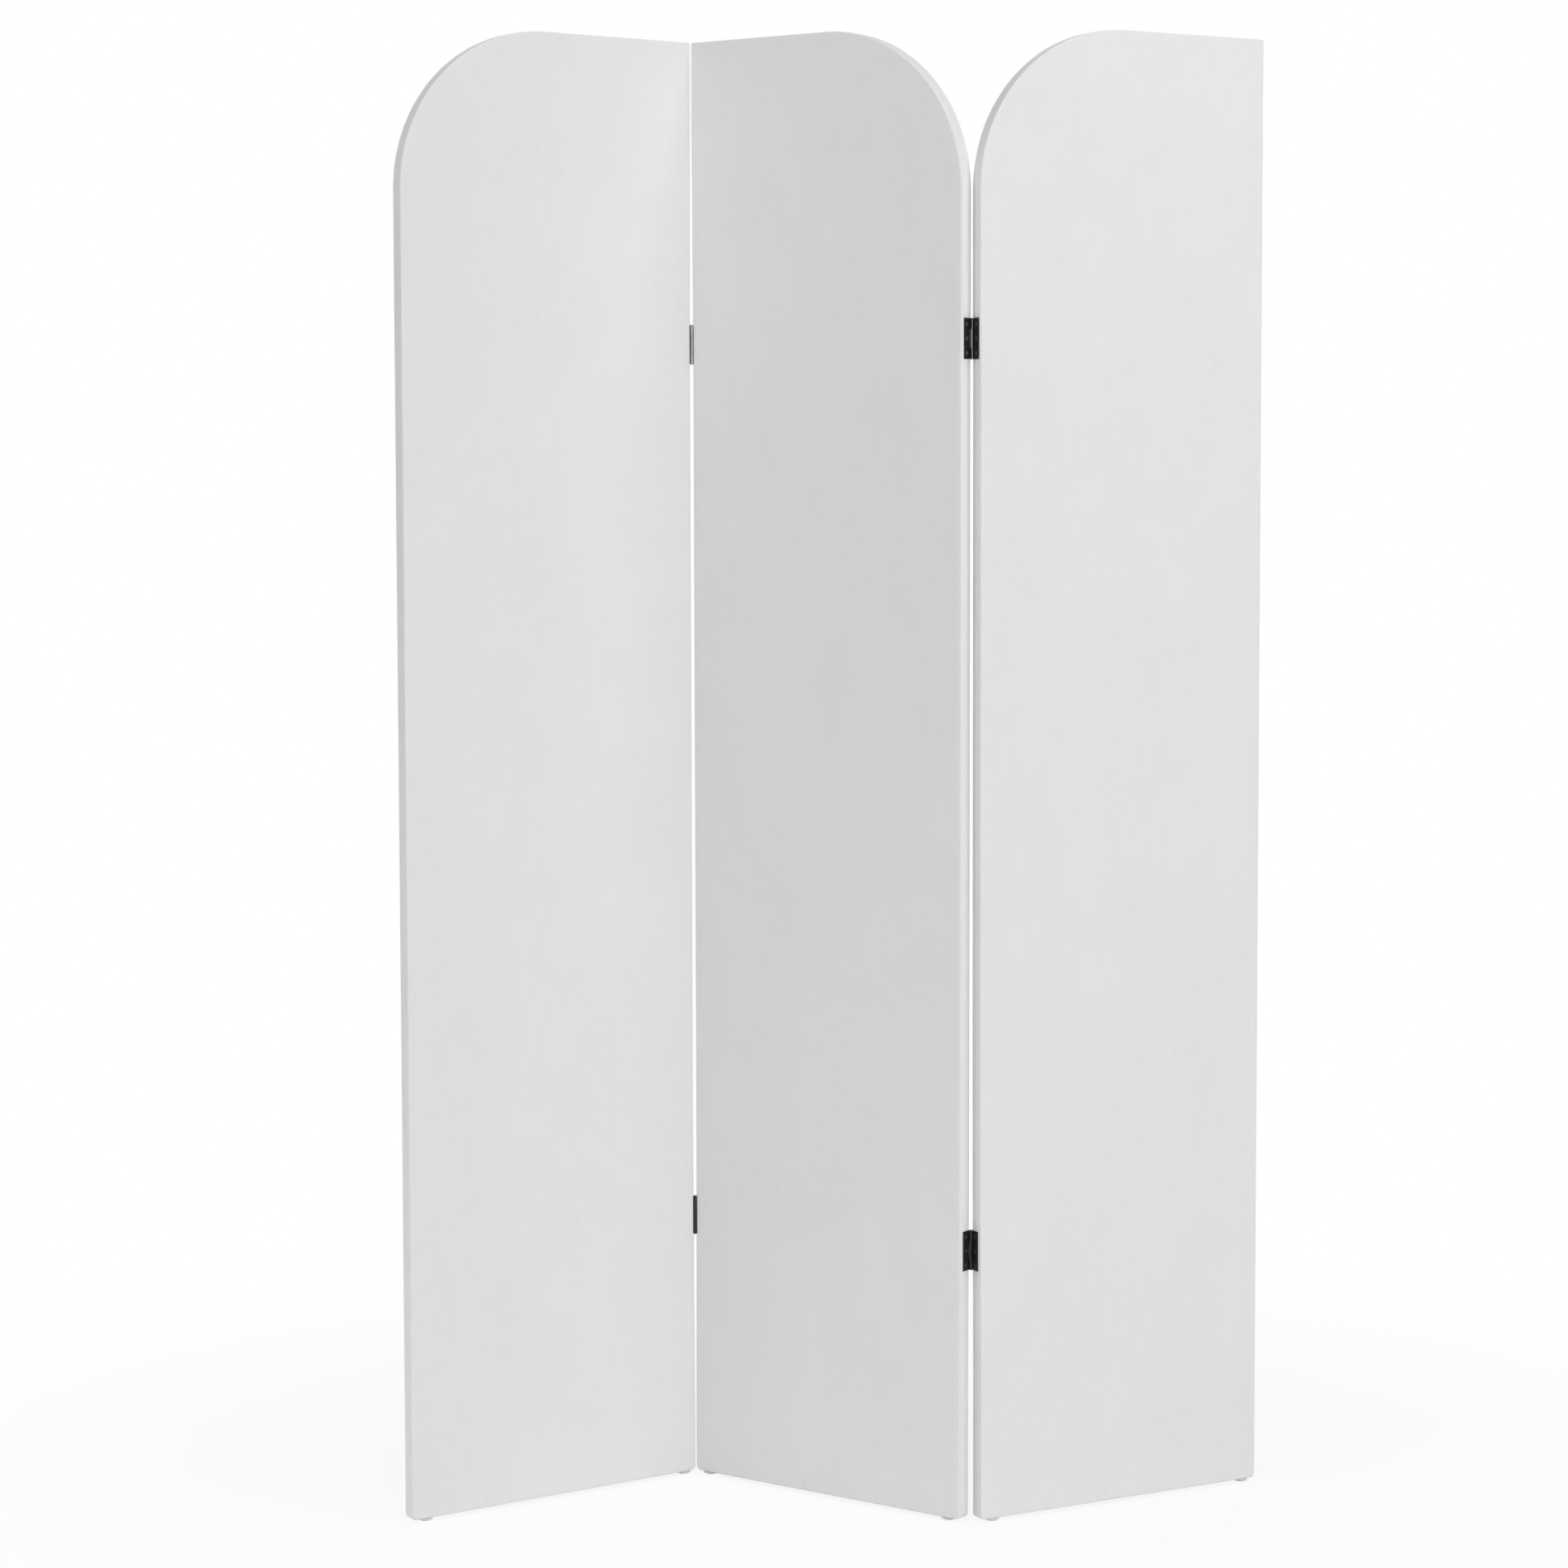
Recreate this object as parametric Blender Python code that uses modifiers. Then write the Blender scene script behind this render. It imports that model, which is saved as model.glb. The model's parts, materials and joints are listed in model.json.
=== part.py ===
"""Folding room divider: three upholstered panels on four butt hinges.

Metres, +Z up. The fronts face -Y and the panels stand in a zigzag: the left fold has its
hinge pins at the front corners, the right fold has them at the back corners. The origin is
on the floor, under the middle of the screen as it stands.

Each panel is made in its own frame: X along its width from the left end, Y through its
thickness from the front face, Z up from its bottom edge.
"""

import math

import bmesh
import bpy
import numpy as np
from mathutils import Matrix, Vector

SCREEN = "folding_room_divider"

# Panels
PANEL_WIDTH = 0.406
PANEL_HEIGHT = 1.825
PANEL_THICKNESS = 0.020
ROUND_CORNER_RADIUS = 0.200
SQUARE_CORNER_RADIUS = 0.003
BOTTOM_CORNER_RADIUS = 0.006

# Padded velvet covers, joined at a seam along the edges
COVER_THICKNESS = 0.0012
COVER_EDGE_ROUNDING = 0.002
SEAM_FROM_FRONT = 0.012

# Wooden frame and the hardboard on its two sides
BOARD_THICKNESS = 0.002
FRAME_BAR_WIDTH = 0.035
MIDDLE_RAIL_WIDTH = 0.030
MIDDLE_RAILS = 2

# Butt hinges
LEAF_HEIGHT = 0.049
LEAF_REACH = 0.0142
LEAF_THICKNESS = 0.0010
KNUCKLE_RADIUS = 0.0022
MIDDLE_KNUCKLE_HEIGHT = 0.023
KNUCKLE_PROUD_OF_FACE = 0.00035
PIN_RADIUS = 0.0010
PIN_HEAD_RADIUS = 0.0019
PIN_HEAD_HEIGHT = 0.0005
UPPER_HINGE_BELOW_TOP = 0.378
LOWER_HINGE_ABOVE_BOTTOM = 0.3335

# Hinge screws
SCREWS_PER_LEAF = 3
SCREW_SPACING = 0.0175
SCREW_LINE_FROM_PIN = 0.0084
SCREW_LENGTH = 0.016
SCREW_TIP_LENGTH = 0.004
SCREW_SHANK_RADIUS = 0.0014
SCREW_HEAD_RADIUS = 0.0024

# Nail-on glides under the bottom edge
GLIDE_RADIUS = 0.009
GLIDE_HEIGHT = 0.004
GLIDE_RIM_ROUNDING = 0.0015
GLIDE_NAIL_RADIUS = 0.0009
GLIDE_NAIL_LENGTH = 0.015

# Where each glide is nailed, from the panel's left end and from its right end
GLIDE_INSETS = {
    "left": (0.023, 0.010),
    "middle": (0.013, 0.023),
    "right": (0.022, 0.015),
}

# The zigzag at rest, as the turn of the middle panel and the two inside angles
MIDDLE_PANEL_TURN = math.radians(-34.4)
LEFT_FOLD_ANGLE = math.radians(110.6)
RIGHT_FOLD_ANGLE = math.radians(116.7)

# Gap between touching pieces, and along the knuckles and the rolled seams of the hinges
FIT = 0.0003
KNUCKLE_GAP = 0.0003
ROLL_GAP = 0.0003

# Facets
ROUND_CORNER_STEPS = 18
SMALL_CORNER_STEPS = 3
EDGE_STEPS = 2
ROLL_STEPS = 14
PIN_STEPS = 14
SCREW_STEPS = 10
GLIDE_STEPS = 18

# Worked out from the sizes above
PANEL_BOTTOM = GLIDE_HEIGHT + FIT
CORE_INSET = COVER_THICKNESS + FIT
FRAME_FRONT = CORE_INSET + BOARD_THICKNESS + FIT
FRAME_THICKNESS = PANEL_THICKNESS - 2 * FRAME_FRONT
END_TO_PIN = KNUCKLE_RADIUS + FIT
HINGE_HEIGHTS = {
    "upper": PANEL_HEIGHT - UPPER_HINGE_BELOW_TOP,
    "lower": LOWER_HINGE_ABOVE_BOTTOM,
}
SCREW_HEIGHTS = [(k - (SCREWS_PER_LEAF - 1) / 2) * SCREW_SPACING for k in range(SCREWS_PER_LEAF)]

# Looks: base colour, roughness, metallic
VELVET = ((0.72, 0.72, 0.72), 0.9, 0.0)
PINE = ((0.72, 0.52, 0.32), 0.7, 0.0)
HARDBOARD = ((0.30, 0.19, 0.11), 0.75, 0.0)
BLACK_STEEL = ((0.02, 0.02, 0.02), 0.35, 1.0)
GLIDE_GREY = ((0.45, 0.45, 0.45), 0.4, 0.0)


def clear_scene():
    for obj in list(bpy.data.objects):
        bpy.data.objects.remove(obj, do_unlink=True)


def new_collection(name, parent):
    collection = bpy.data.collections.new(name)
    parent.children.link(collection)
    return collection


def new_empty(name, parent, collection, location, turn=0.0):
    empty = bpy.data.objects.new(name, None)
    empty.empty_display_size = 0.05
    empty.location = location
    empty.rotation_euler = (0.0, 0.0, turn)
    empty.parent = parent
    collection.objects.link(empty)
    return empty


def add_piece(name, mesh, look, collection, parent, matrix=Matrix.Identity(4)):
    """One object with its own material, placed under its parent."""
    colour, roughness, metallic = look
    material = bpy.data.materials.new(name)
    material.use_nodes = True
    shader = material.node_tree.nodes["Principled BSDF"]
    shader.inputs["Base Color"].default_value = (*colour, 1.0)
    shader.inputs["Roughness"].default_value = roughness
    shader.inputs["Metallic"].default_value = metallic
    material.diffuse_color = (*colour, 1.0)
    if not mesh.materials:
        mesh.materials.append(material)
    piece = bpy.data.objects.new(name, mesh)
    piece.parent = parent
    piece.matrix_local = matrix
    collection.objects.link(piece)
    piece.material_slots[0].link = "OBJECT"
    piece.material_slots[0].material = material
    return piece


def baked(obj, name):
    """The evaluated mesh of a helper object, welded; the helper is removed."""
    graph = bpy.context.evaluated_depsgraph_get()
    mesh = bpy.data.meshes.new_from_object(obj.evaluated_get(graph))
    mesh.name = name
    mesh.transform(obj.matrix_world)
    bpy.data.objects.remove(obj, do_unlink=True)
    bm = bmesh.new()
    bm.from_mesh(mesh)
    bmesh.ops.remove_doubles(bm, verts=bm.verts, dist=1e-6)
    bmesh.ops.recalc_face_normals(bm, faces=bm.faces)
    bm.to_mesh(mesh)
    bm.free()
    mesh.materials.clear()
    return mesh


def helper(data):
    """A scratch object for modifiers, which baked() turns into a mesh."""
    obj = bpy.data.objects.new("helper", data)
    bpy.context.scene.collection.objects.link(obj)
    return obj


def smooth(mesh, angle=40.0):
    mesh.shade_smooth()
    mesh.set_sharp_from_angle(angle=math.radians(angle))
    return mesh


def outline(left, right, bottom, top, radii, steps):
    """Corner-rounded rectangle: bottom left, bottom right, top right, top left."""
    corners = ((left, bottom, 180), (right, bottom, 270), (right, top, 0), (left, top, 90))
    points = []
    for (x, z, start), radius, count in zip(corners, radii, steps):
        if radius <= 0:
            points.append((x, z))
            continue
        centre_x = x + (radius if x == left else -radius)
        centre_z = z + (radius if z == bottom else -radius)
        for k in range(count + 1):
            angle = math.radians(start + 90 * k / count)
            points.append((centre_x + radius * math.cos(angle), centre_z + radius * math.sin(angle)))
    return points


def panel_outline(round_side, inset):
    """A panel's outline drawn in by inset, with its large round corner on one side."""
    radii = [BOTTOM_CORNER_RADIUS, BOTTOM_CORNER_RADIUS, SQUARE_CORNER_RADIUS, SQUARE_CORNER_RADIUS]
    steps = [SMALL_CORNER_STEPS] * 4
    round_corner = 3 if round_side == "left" else 2
    radii[round_corner] = ROUND_CORNER_RADIUS
    steps[round_corner] = ROUND_CORNER_STEPS
    radii = [max(radius - inset, 0.0) for radius in radii]
    return outline(inset, PANEL_WIDTH - inset, inset, PANEL_HEIGHT - inset, radii, steps)


def flat_plate(name, outlines, front, thickness):
    """A filled outline, with holes where further outlines lie inside it, made a plate."""
    curve = bpy.data.curves.new(name, "CURVE")
    curve.dimensions = "2D"
    curve.fill_mode = "BOTH"
    curve.extrude = thickness / 2
    for points in outlines:
        spline = curve.splines.new("POLY")
        spline.points.add(len(points) - 1)
        for point, (x, z) in zip(spline.points, points):
            point.co = (x, z, 0.0, 1.0)
        spline.use_cyclic_u = True
    plate = helper(curve)
    plate.rotation_euler = (math.radians(90), 0.0, 0.0)
    plate.location = (0.0, front + thickness / 2, 0.0)
    bpy.context.view_layer.update()
    return baked(plate, name)


def frame_mesh(round_side):
    """Stiles, rails and round corner as one glued frame with a window between each two rails."""
    bar_edge = CORE_INSET + FRAME_BAR_WIDTH
    windows = MIDDLE_RAILS + 1
    opening = (PANEL_HEIGHT - 2 * bar_edge - MIDDLE_RAILS * MIDDLE_RAIL_WIDTH) / windows
    outlines = [panel_outline(round_side, CORE_INSET)]
    for k in range(windows):
        bottom = bar_edge + k * (opening + MIDDLE_RAIL_WIDTH)
        radii = [0.0] * 4
        steps = [1] * 4
        if k == windows - 1:
            corner = 3 if round_side == "left" else 2
            radii[corner] = max(ROUND_CORNER_RADIUS - bar_edge, 0.0)
            steps[corner] = ROUND_CORNER_STEPS
        outlines.append(outline(bar_edge, PANEL_WIDTH - bar_edge, bottom, bottom + opening, radii, steps))
    return flat_plate("frame", outlines, FRAME_FRONT, FRAME_THICKNESS)


def full_plate(name, round_side, inset, front, thickness):
    """A plate of the whole panel's outline drawn in by inset, each face one polygon."""
    mesh = flat_plate(name, [panel_outline(round_side, inset)], front, thickness)
    bm = bmesh.new()
    bm.from_mesh(mesh)
    bmesh.ops.dissolve_limit(bm, angle_limit=math.radians(1), verts=bm.verts, edges=bm.edges)
    bm.to_mesh(mesh)
    bm.free()
    return mesh


def round_rims(plate, width, steps):
    rounding = plate.modifiers.new("edge rounding", "BEVEL")
    rounding.width = width
    rounding.segments = steps
    rounding.limit_method = "ANGLE"
    rounding.angle_limit = math.radians(60)


def board_mesh(round_side, face):
    """Hardboard sheet, its rims eased to follow the inside of the cover's rounded edge."""
    fronts = {"front": CORE_INSET, "back": PANEL_THICKNESS - CORE_INSET - BOARD_THICKNESS}
    board = helper(full_plate("board", round_side, CORE_INSET, fronts[face], BOARD_THICKNESS))
    easing = min(COVER_EDGE_ROUNDING - CORE_INSET, BOARD_THICKNESS / 3)
    if easing > 0:
        round_rims(board, easing, 1)
    return baked(board, f"{face}_board")


def cover_mesh(round_side, face):
    """Padded tray: one face of the panel and its wrapped edges, up to the seam."""
    blank = helper(full_plate("cover", round_side, 0.0, 0.0, PANEL_THICKNESS))
    round_rims(blank, COVER_EDGE_ROUNDING, EDGE_STEPS)
    mesh = baked(blank, f"{face}_cover")
    bm = bmesh.new()
    bm.from_mesh(mesh)
    side = 1 if face == "front" else -1
    bmesh.ops.bisect_plane(
        bm,
        geom=bm.verts[:] + bm.edges[:] + bm.faces[:],
        plane_co=(0.0, SEAM_FROM_FRONT - side * FIT / 2, 0.0),
        plane_no=(0.0, side, 0.0),
        clear_outer=True,
    )
    bm.to_mesh(mesh)
    bm.free()
    return smooth(mesh)


def solid_shell(piece, thickness):
    shell = piece.modifiers.new("padding", "SOLIDIFY")
    shell.thickness = thickness
    shell.offset = -1.0
    shell.use_even_offset = True


def cut_holes(piece, cutters):
    holes = piece.modifiers.new("holes", "BOOLEAN")
    holes.operation = "DIFFERENCE"
    holes.operand_type = "COLLECTION"
    holes.collection = cutters
    holes.solver = "EXACT"


def turned(name, profile, steps):
    """A profile of (radius, height) from top to bottom, turned about Z."""
    mesh = bpy.data.meshes.new(name)
    points = [(radius, 0.0, height) for radius, height in profile]
    mesh.from_pydata(points, [(k, k + 1) for k in range(len(points) - 1)], [])
    lathe = helper(mesh)
    screw = lathe.modifiers.new("turn", "SCREW")
    screw.axis = "Z"
    screw.steps = steps
    screw.render_steps = steps
    screw.use_merge_vertices = True
    screw.merge_threshold = 1e-6
    return baked(lathe, name)


def arc(centre_r, centre_z, radius, start, end, count):
    """Points of an arc in the (radius, height) plane, angles in degrees."""
    points = []
    for k in range(count + 1):
        angle = math.radians(start + (end - start) * k / count)
        points.append((centre_r + radius * math.cos(angle), centre_z + radius * math.sin(angle)))
    return points


def leaf_screw_holes(hole, cutters):
    """A leaf's countersunk holes, in the leaf's own frame."""
    holes = new_collection("leaf_screw_holes", cutters)
    for k, place in enumerate(screw_places(Matrix.Identity(4), 0.0), start=1):
        hide_cutter(add_piece(f"leaf_screw_hole_{k}", hole, BLACK_STEEL, holes, None, place))
    return holes


def rolled_leaf(name, knuckle_bands, screw_holes):
    """Hinge leaf rolled from one strip: +X away from the pin, -Y against the panel's end.

    The strip runs from the leaf's free edge to the pin and round it, back to a thin gap. It is
    full length only in the bands of height that carry a knuckle, and is notched elsewhere.
    """
    mid_radius = KNUCKLE_RADIUS - LEAF_THICKNESS / 2
    notch_edge = KNUCKLE_RADIUS + FIT
    roll_end = -math.degrees(math.asin((KNUCKLE_RADIUS - LEAF_THICKNESS - ROLL_GAP) / KNUCKLE_RADIUS))
    path = [(LEAF_REACH, -mid_radius), (notch_edge, -mid_radius)]
    path += arc(0.0, 0.0, mid_radius, 270.0, roll_end, ROLL_STEPS)
    half = LEAF_HEIGHT / 2
    levels = sorted({-half, half}.union(*knuckle_bands))
    bm = bmesh.new()
    rows = [[bm.verts.new((x, y, z)) for x, y in path] for z in levels]
    for low, high, z_low, z_high in zip(rows, rows[1:], levels, levels[1:]):
        has_knuckle = any(bottom <= z_low and z_high <= top for bottom, top in knuckle_bands)
        for k in range(len(path) - 1 if has_knuckle else 1):
            bm.faces.new((low[k], low[k + 1], high[k + 1], high[k]))
    bmesh.ops.delete(bm, geom=[v for v in bm.verts if not v.link_faces], context="VERTS")
    mesh = bpy.data.meshes.new(name)
    bm.to_mesh(mesh)
    bm.free()
    leaf = helper(mesh)
    sheet = leaf.modifiers.new("sheet", "SOLIDIFY")
    sheet.thickness = LEAF_THICKNESS
    sheet.offset = 0.0
    sheet.use_even_offset = True
    leaf = helper(baked(leaf, name))
    cut_holes(leaf, screw_holes)
    return smooth(baked(leaf, name))


def screw_profile(clearance):
    """Countersunk screw or its hole, head up at the leaf's inner face, grown by clearance."""
    head_top = clearance
    tip = -SCREW_LENGTH - clearance
    shank = SCREW_SHANK_RADIUS + clearance
    head = SCREW_HEAD_RADIUS + clearance
    return [
        (0.0, head_top),
        (head, head_top),
        (head, 0.0),
        (shank, shank - head),
        (shank, tip + SCREW_TIP_LENGTH),
        (0.0, tip),
    ]


def screw_mesh():
    profile = [point for point in screw_profile(0.0)]
    del profile[1]
    return smooth(turned("screw", profile, SCREW_STEPS))


def pin_mesh():
    """Riveted pin: a shaft through the knuckles and a low dome beyond each end."""
    shoulder = LEAF_HEIGHT / 2 + FIT
    dome_radius = (PIN_HEAD_RADIUS**2 + PIN_HEAD_HEIGHT**2) / (2 * PIN_HEAD_HEIGHT)
    rim_angle = math.degrees(math.acos(PIN_HEAD_RADIUS / dome_radius))
    dome = arc(0.0, shoulder + PIN_HEAD_HEIGHT - dome_radius, dome_radius, 90.0, rim_angle, 2)
    dome[0] = (0.0, dome[0][1])
    upper = dome + [(PIN_RADIUS, shoulder)]
    lower = [(radius, -height) for radius, height in reversed(upper)]
    return smooth(turned("hinge_pin", upper + lower, PIN_STEPS))


def glide_mesh():
    """Low round foot with a softened rim, and the nail above it; Z = 0 is its flat underside."""
    rim = arc(
        GLIDE_RADIUS - GLIDE_RIM_ROUNDING, GLIDE_RIM_ROUNDING, GLIDE_RIM_ROUNDING, 0.0, -90.0, 3
    )
    nail_top = GLIDE_HEIGHT + GLIDE_NAIL_LENGTH
    profile = [
        (0.0, nail_top),
        (GLIDE_NAIL_RADIUS, nail_top - 2 * GLIDE_NAIL_RADIUS),
        (GLIDE_NAIL_RADIUS, GLIDE_HEIGHT),
        (GLIDE_RADIUS, GLIDE_HEIGHT),
        *rim,
        (0.0, 0.0),
    ]
    return smooth(turned("glide", profile, GLIDE_STEPS))


def nail_hole_mesh():
    radius = GLIDE_NAIL_RADIUS + FIT
    top = GLIDE_HEIGHT + GLIDE_NAIL_LENGTH + FIT
    return turned("nail_hole", [(0.0, top), (radius, top), (radius, 0.0), (0.0, 0.0)], SCREW_STEPS)


def hide_cutter(cutter):
    cutter.hide_render = True
    cutter.display_type = "WIRE"


def hinge_frame(end, pin_side):
    """Placement of a leaf at a panel's end: X away from the pin, Y out of the end, Z along it."""
    outward = Vector((-1.0, 0.0, 0.0)) if end == "left" else Vector((1.0, 0.0, 0.0))
    inward = Vector((0.0, 1.0, 0.0)) if pin_side == "front" else Vector((0.0, -1.0, 0.0))
    x = -END_TO_PIN if end == "left" else PANEL_WIDTH + END_TO_PIN
    y = -KNUCKLE_PROUD_OF_FACE if pin_side == "front" else PANEL_THICKNESS + KNUCKLE_PROUD_OF_FACE
    axes = Matrix((inward, outward, inward.cross(outward))).transposed()
    return Matrix.Translation((x, y, 0.0)) @ axes.to_4x4()


def screw_places(placement, hinge_height):
    """Matrices of one leaf's screws, heads flush with the leaf's inner face."""
    face = LEAF_THICKNESS - KNUCKLE_RADIUS
    heads_out = Matrix.Rotation(math.radians(-90), 4, "X")
    lifted = Matrix.Translation((0.0, 0.0, hinge_height)) @ placement
    return [
        lifted @ Matrix.Translation((SCREW_LINE_FROM_PIN, face, z)) @ heads_out
        for z in SCREW_HEIGHTS
    ]


def build_panel(side, round_side, ends, body, collection, cutters, shared):
    """Frame, boards, covers and glides of one panel, and its half of each hinge.

    ends lists the panel's hinged ends as (fold, end, pin side, leaf role).
    """
    holes = new_collection(f"{side}_holes", cutters)
    nail_holes = new_collection(f"{side}_nail_holes", holes)
    screw_holes = new_collection(f"{side}_screw_holes", holes)

    glide_places = {
        "left": GLIDE_INSETS[side][0],
        "right": PANEL_WIDTH - GLIDE_INSETS[side][1],
    }
    for end, x in glide_places.items():
        place = Matrix.Translation((x, PANEL_THICKNESS / 2, -PANEL_BOTTOM))
        name = f"{side}_panel_{end}_glide"
        add_piece(name, shared["glide"], GLIDE_GREY, collection, body, place)
        hide_cutter(add_piece(f"{name}_hole", shared["nail_hole"], PINE, nail_holes, body, place))

    for fold, end, pin_side, role in ends:
        placement = hinge_frame(end, pin_side)
        for level, height in HINGE_HEIGHTS.items():
            hinge = f"{fold}_{level}_hinge"
            lifted = Matrix.Translation((0.0, 0.0, height)) @ placement
            add_piece(f"{hinge}_{role}_leaf", shared[f"{role}_leaf"], BLACK_STEEL, collection, body, lifted)
            for k, place in enumerate(screw_places(placement, height), start=1):
                name = f"{hinge}_{role}_screw_{k}"
                add_piece(name, shared["screw"], BLACK_STEEL, collection, body, place)
                hide_cutter(add_piece(f"{name}_hole", shared["screw_hole"], PINE, screw_holes, body, place))

    frame = add_piece(f"{side}_frame", frame_mesh(round_side), PINE, collection, body)
    cut_holes(frame, holes)

    for face in ("front", "back"):
        add_piece(f"{side}_{face}_board", board_mesh(round_side, face), HARDBOARD, collection, body)
        cover = add_piece(f"{side}_{face}_cover", cover_mesh(round_side, face), VELVET, collection, body)
        solid_shell(cover, COVER_THICKNESS)
        cut_holes(cover, holes)


def pin_axis(end, pin_side):
    """The fold's axis in a panel's own frame, at the panel's bottom edge."""
    return hinge_frame(end, pin_side).translation


def world_corners(piece, graph):
    evaluated = piece.evaluated_get(graph)
    points = np.empty(3 * len(evaluated.data.vertices))
    evaluated.data.vertices.foreach_get("co", points)
    matrix = np.array(evaluated.matrix_world)
    return points.reshape(-1, 3) @ matrix[:3, :3].T + matrix[:3, 3]


def centre_on_floor(root, parts):
    """Moves the root so that the middle of the screen's footprint is at the origin."""
    bpy.context.view_layer.update()
    graph = bpy.context.evaluated_depsgraph_get()
    points = np.vstack([world_corners(piece, graph) for piece in parts if piece.type == "MESH"])
    low, high = points.min(axis=0), points.max(axis=0)
    root.location = (-(low[0] + high[0]) / 2, -(low[1] + high[1]) / 2, -low[2])
    bpy.context.view_layer.update()
    print("Size:", [round(float(v), 5) for v in high - low])


def main():
    clear_scene()
    parts = new_collection(SCREEN, bpy.context.scene.collection)
    cutters = new_collection("cutters", bpy.context.scene.collection)

    half = LEAF_HEIGHT / 2
    middle = MIDDLE_KNUCKLE_HEIGHT / 2
    screw_hole = turned("screw_hole", screw_profile(FIT), SCREW_STEPS)
    holes = leaf_screw_holes(screw_hole, cutters)
    shared = {
        "outer_leaf": rolled_leaf("outer_leaf", [(-half, -middle), (middle, half)], holes),
        "middle_leaf": rolled_leaf(
            "middle_leaf", [(-middle + KNUCKLE_GAP, middle - KNUCKLE_GAP)], holes
        ),
        "screw": screw_mesh(),
        "screw_hole": screw_hole,
        "pin": pin_mesh(),
        "glide": glide_mesh(),
        "nail_hole": nail_hole_mesh(),
    }

    # The middle panel stands on the root; each outer panel hangs on an empty on its fold's axis.
    root = new_empty(SCREEN + "_root", None, parts, (0.0, 0.0, 0.0))
    middle_panel = new_empty("middle_panel", root, parts, (0.0, 0.0, PANEL_BOTTOM), MIDDLE_PANEL_TURN)
    left_axis = new_empty("left_fold_axis", middle_panel, parts, pin_axis("left", "front"))
    right_axis = new_empty("right_fold_axis", middle_panel, parts, pin_axis("right", "back"))
    left_axis.rotation_euler.z = math.pi - LEFT_FOLD_ANGLE
    right_axis.rotation_euler.z = math.pi - RIGHT_FOLD_ANGLE
    left_panel = new_empty("left_panel", left_axis, parts, -pin_axis("right", "front"))
    right_panel = new_empty("right_panel", right_axis, parts, -pin_axis("left", "back"))

    build_panel(
        "left", "left", [("left_fold", "right", "front", "outer")], left_panel, parts, cutters, shared
    )
    build_panel(
        "middle",
        "right",
        [("left_fold", "left", "front", "middle"), ("right_fold", "right", "back", "middle")],
        middle_panel,
        parts,
        cutters,
        shared,
    )
    build_panel(
        "right", "left", [("right_fold", "left", "back", "outer")], right_panel, parts, cutters, shared
    )

    for fold, end, pin_side in (("left_fold", "left", "front"), ("right_fold", "right", "back")):
        for level, height in HINGE_HEIGHTS.items():
            place = Matrix.Translation(pin_axis(end, pin_side) + Vector((0.0, 0.0, height)))
            add_piece(f"{fold}_{level}_hinge_pin", shared["pin"], BLACK_STEEL, parts, middle_panel, place)

    centre_on_floor(root, parts.objects)
    for axis in (left_axis, right_axis):
        print(axis.name, [round(v, 6) for v in axis.matrix_world.translation])


main()
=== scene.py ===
"""Folding room divider: velvet covers, butt hinges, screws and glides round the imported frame.

Metres, +Z up, fronts to -Y. Each panel is worked out in its own frame, X along its width from
the left end, Y through its thickness from the front face and Z up from its bottom edge, and is
then turned into its place in the zigzag, which comes from the two fold joints.
"""

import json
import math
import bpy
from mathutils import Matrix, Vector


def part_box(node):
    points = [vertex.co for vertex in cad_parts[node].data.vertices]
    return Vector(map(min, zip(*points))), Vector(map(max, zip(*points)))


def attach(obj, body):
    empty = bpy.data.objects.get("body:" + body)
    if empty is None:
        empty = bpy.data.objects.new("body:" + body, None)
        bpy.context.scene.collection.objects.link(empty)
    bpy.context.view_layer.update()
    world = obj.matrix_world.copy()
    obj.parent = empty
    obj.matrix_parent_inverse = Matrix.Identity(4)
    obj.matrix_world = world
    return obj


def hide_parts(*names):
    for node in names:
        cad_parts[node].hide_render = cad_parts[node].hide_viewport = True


bl_info = {
    "name": "Folding room divider",
    "version": (1, 0, 0),
    "blender": (4, 5, 0),
    "location": "3D View > Sidebar > Divider",
    "description": "Dresses a three-panel velvet room divider, its hinges, screws and glides",
    "category": "Object",
}

import bmesh
import bpy
import numpy as np
from mathutils import Vector

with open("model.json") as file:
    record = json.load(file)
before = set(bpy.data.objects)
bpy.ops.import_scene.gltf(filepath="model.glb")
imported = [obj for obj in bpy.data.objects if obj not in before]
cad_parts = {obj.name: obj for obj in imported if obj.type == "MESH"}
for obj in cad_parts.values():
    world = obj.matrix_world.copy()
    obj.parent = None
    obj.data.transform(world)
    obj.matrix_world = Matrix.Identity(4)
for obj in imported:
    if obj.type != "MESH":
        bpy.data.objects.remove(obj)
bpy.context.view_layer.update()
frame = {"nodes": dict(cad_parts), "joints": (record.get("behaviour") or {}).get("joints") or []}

SIDES = ("left", "middle", "right")
FACES = ("front", "back")
FOLDS = {joint["name"]: joint for joint in frame["joints"]}
COVER_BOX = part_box("middle_front_cover")
LEAF_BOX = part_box("right_fold_upper_hinge_middle_leaf")

# Metres between the stretches of velvet that two covers are cut from
BOLT_WIDTH = 1.4

# Which side of its top each panel is rounded on
ROUND_SIDES = {"left": "left", "middle": "right", "right": "left"}

# Each fold: where its pins are, then (panel, end) of its outer and middle leaves
FOLD_ENDS = {
    "left_fold": ("front", ("left", "right"), ("middle", "left")),
    "right_fold": ("back", ("right", "left"), ("middle", "right")),
}

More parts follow.
